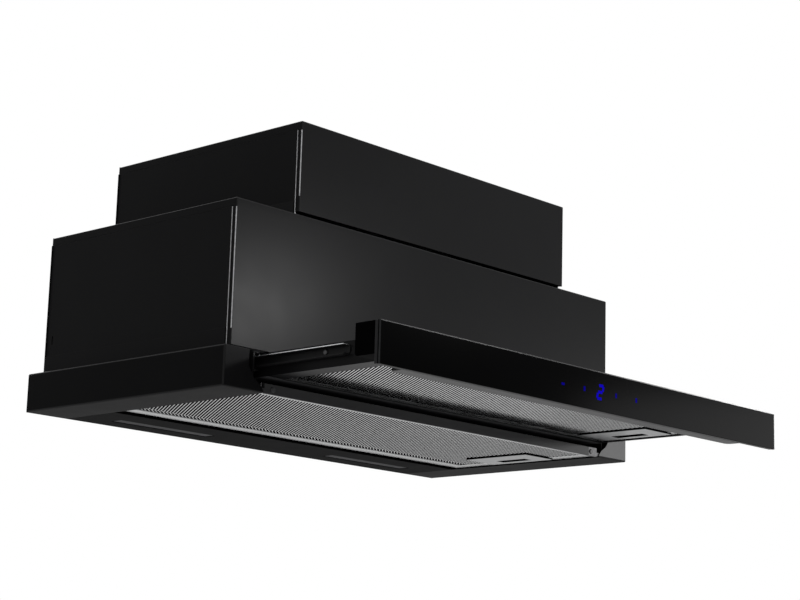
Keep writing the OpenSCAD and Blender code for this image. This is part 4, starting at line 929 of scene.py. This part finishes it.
# ---------------------------------------------------------------- studio
# A pale floor at its true distance below the hood, which hangs over a cooker, soft lamps, and a
# camera that looks up at the hood's left front corner. Lengths here are in metres.

WORKING_HEIGHT = 1.6
FLOOR_HALF = 30.0
FLOOR_GLOW = 0.24  # what the floor adds to its own brightness where it is seen
WHITE = 1.0
ROOM_LIGHT = 0.35  # how strongly the white surround lights the hood


def area_lamp(name, place, aim, width, height, power):
    """A soft lamp that faces a point."""
    data = bpy.data.lights.new(name, "AREA")
    data.shape = "RECTANGLE"
    data.size = width
    data.size_y = height
    data.energy = power
    lamp = bpy.data.objects.new(name, data)
    lamp.location = place
    lamp.rotation_mode = "QUATERNION"
    lamp.rotation_quaternion = (Vector(aim) - Vector(place)).to_track_quat("-Z", "Y")
    bpy.context.scene.collection.objects.link(lamp)


def on_sight(tree, unseen, seen):
    """A strength for what the camera sees, also in metal or through glass, and for all else."""
    path = tree.nodes.new("ShaderNodeLightPath")
    direct = tree.nodes.new("ShaderNodeMath")
    direct.operation = "MAXIMUM"
    tree.links.new(path.outputs["Is Camera Ray"], direct.inputs[0])
    tree.links.new(path.outputs["Is Glossy Ray"], direct.inputs[1])
    either = tree.nodes.new("ShaderNodeMath")
    either.operation = "MAXIMUM"
    tree.links.new(direct.outputs[0], either.inputs[0])
    tree.links.new(path.outputs["Is Transmission Ray"], either.inputs[1])
    strength = tree.nodes.new("ShaderNodeMapRange")
    strength.inputs["To Min"].default_value = unseen
    strength.inputs["To Max"].default_value = seen
    tree.links.new(either.outputs[0], strength.inputs["Value"])
    return strength.outputs["Result"]


floor_paint, tree, shader, place = new_finish("pale_floor", (0.86, 0.86, 0.86), 0.9)
shader.inputs["Emission Color"].default_value = (1, 1, 1, 1)
tree.links.new(on_sight(tree, 0.0, FLOOR_GLOW), shader.inputs["Emission Strength"])
floor_paint.cycles.emission_sampling = "NONE"
bm = bmesh.new()
bmesh.ops.create_grid(bm, x_segments=1, y_segments=1, size=FLOOR_HALF)
bmesh.ops.translate(bm, vec=(0, 0, -WORKING_HEIGHT), verts=bm.verts)
floor_mesh = bpy.data.meshes.new("floor")
bm.to_mesh(floor_mesh)
bm.free()
floor_mesh.materials.append(floor_paint)
floor = bpy.data.objects.new("floor", floor_mesh)
bpy.context.scene.collection.objects.link(floor)

world = bpy.data.worlds.new("white_studio")
bpy.context.scene.world = world
world.use_nodes = True
tree = world.node_tree
back = tree.nodes["Background"]
tree.links.new(on_sight(tree, ROOM_LIGHT, WHITE), back.inputs["Strength"])
back.inputs["Color"].default_value = (1, 1, 1, 1)

# Name, place, the point it faces, width, height and power.
area_lamp("front_left", (0.25, -0.60, 0.233), (-0.26, -0.03, 0.05), 0.08, 0.08, 2.35)
area_lamp("front", (1.7, -1.6, 1.05), (0.1, -0.1, 0.15), 1.2, 1.2, 1.8)
area_lamp("front_right", (2.3, -1.45, 0.3), (0.2, -0.2, 0.05), 0.9, 0.3, 8.0)
area_lamp("top", (-0.2, 0.3, 2.2), (0.0, 0.0, 0.1), 1.2, 1.2, 34.0)
area_lamp("under_back", (0.70, 1.28, -0.58), (-0.05, 0.05, 0.0), 1.1, 0.34, 0.24)

LENS_MM = 89.832
CAMERA = (-1.469517, -1.346386, -0.289684)
AZIMUTH, ELEVATION, ROLL = (math.radians(a) for a in (-47.0822, -12.035, 1.6293))
camera_data = bpy.data.cameras.new("camera")
camera_data.sensor_width = 36.0
camera_data.lens = LENS_MM
camera_data.clip_start = 0.05
camera_data.clip_end = 100.0
camera = bpy.data.objects.new("camera", camera_data)
behind = Vector((math.sin(AZIMUTH) * math.cos(ELEVATION),
                 -math.cos(AZIMUTH) * math.cos(ELEVATION), math.sin(ELEVATION)))
right = (-behind).cross(Vector((0, 0, 1))).normalized()
upward = right.cross(-behind)
camera_right = right * math.cos(ROLL) + upward * math.sin(ROLL)
camera_up = -right * math.sin(ROLL) + upward * math.cos(ROLL)
camera.matrix_world = Matrix.Translation(CAMERA) @ Matrix(
    (camera_right, camera_up, behind)).transposed().to_4x4()
bpy.context.scene.collection.objects.link(camera)
bpy.context.scene.camera = camera
bpy.context.scene.view_settings.view_transform = "Standard"
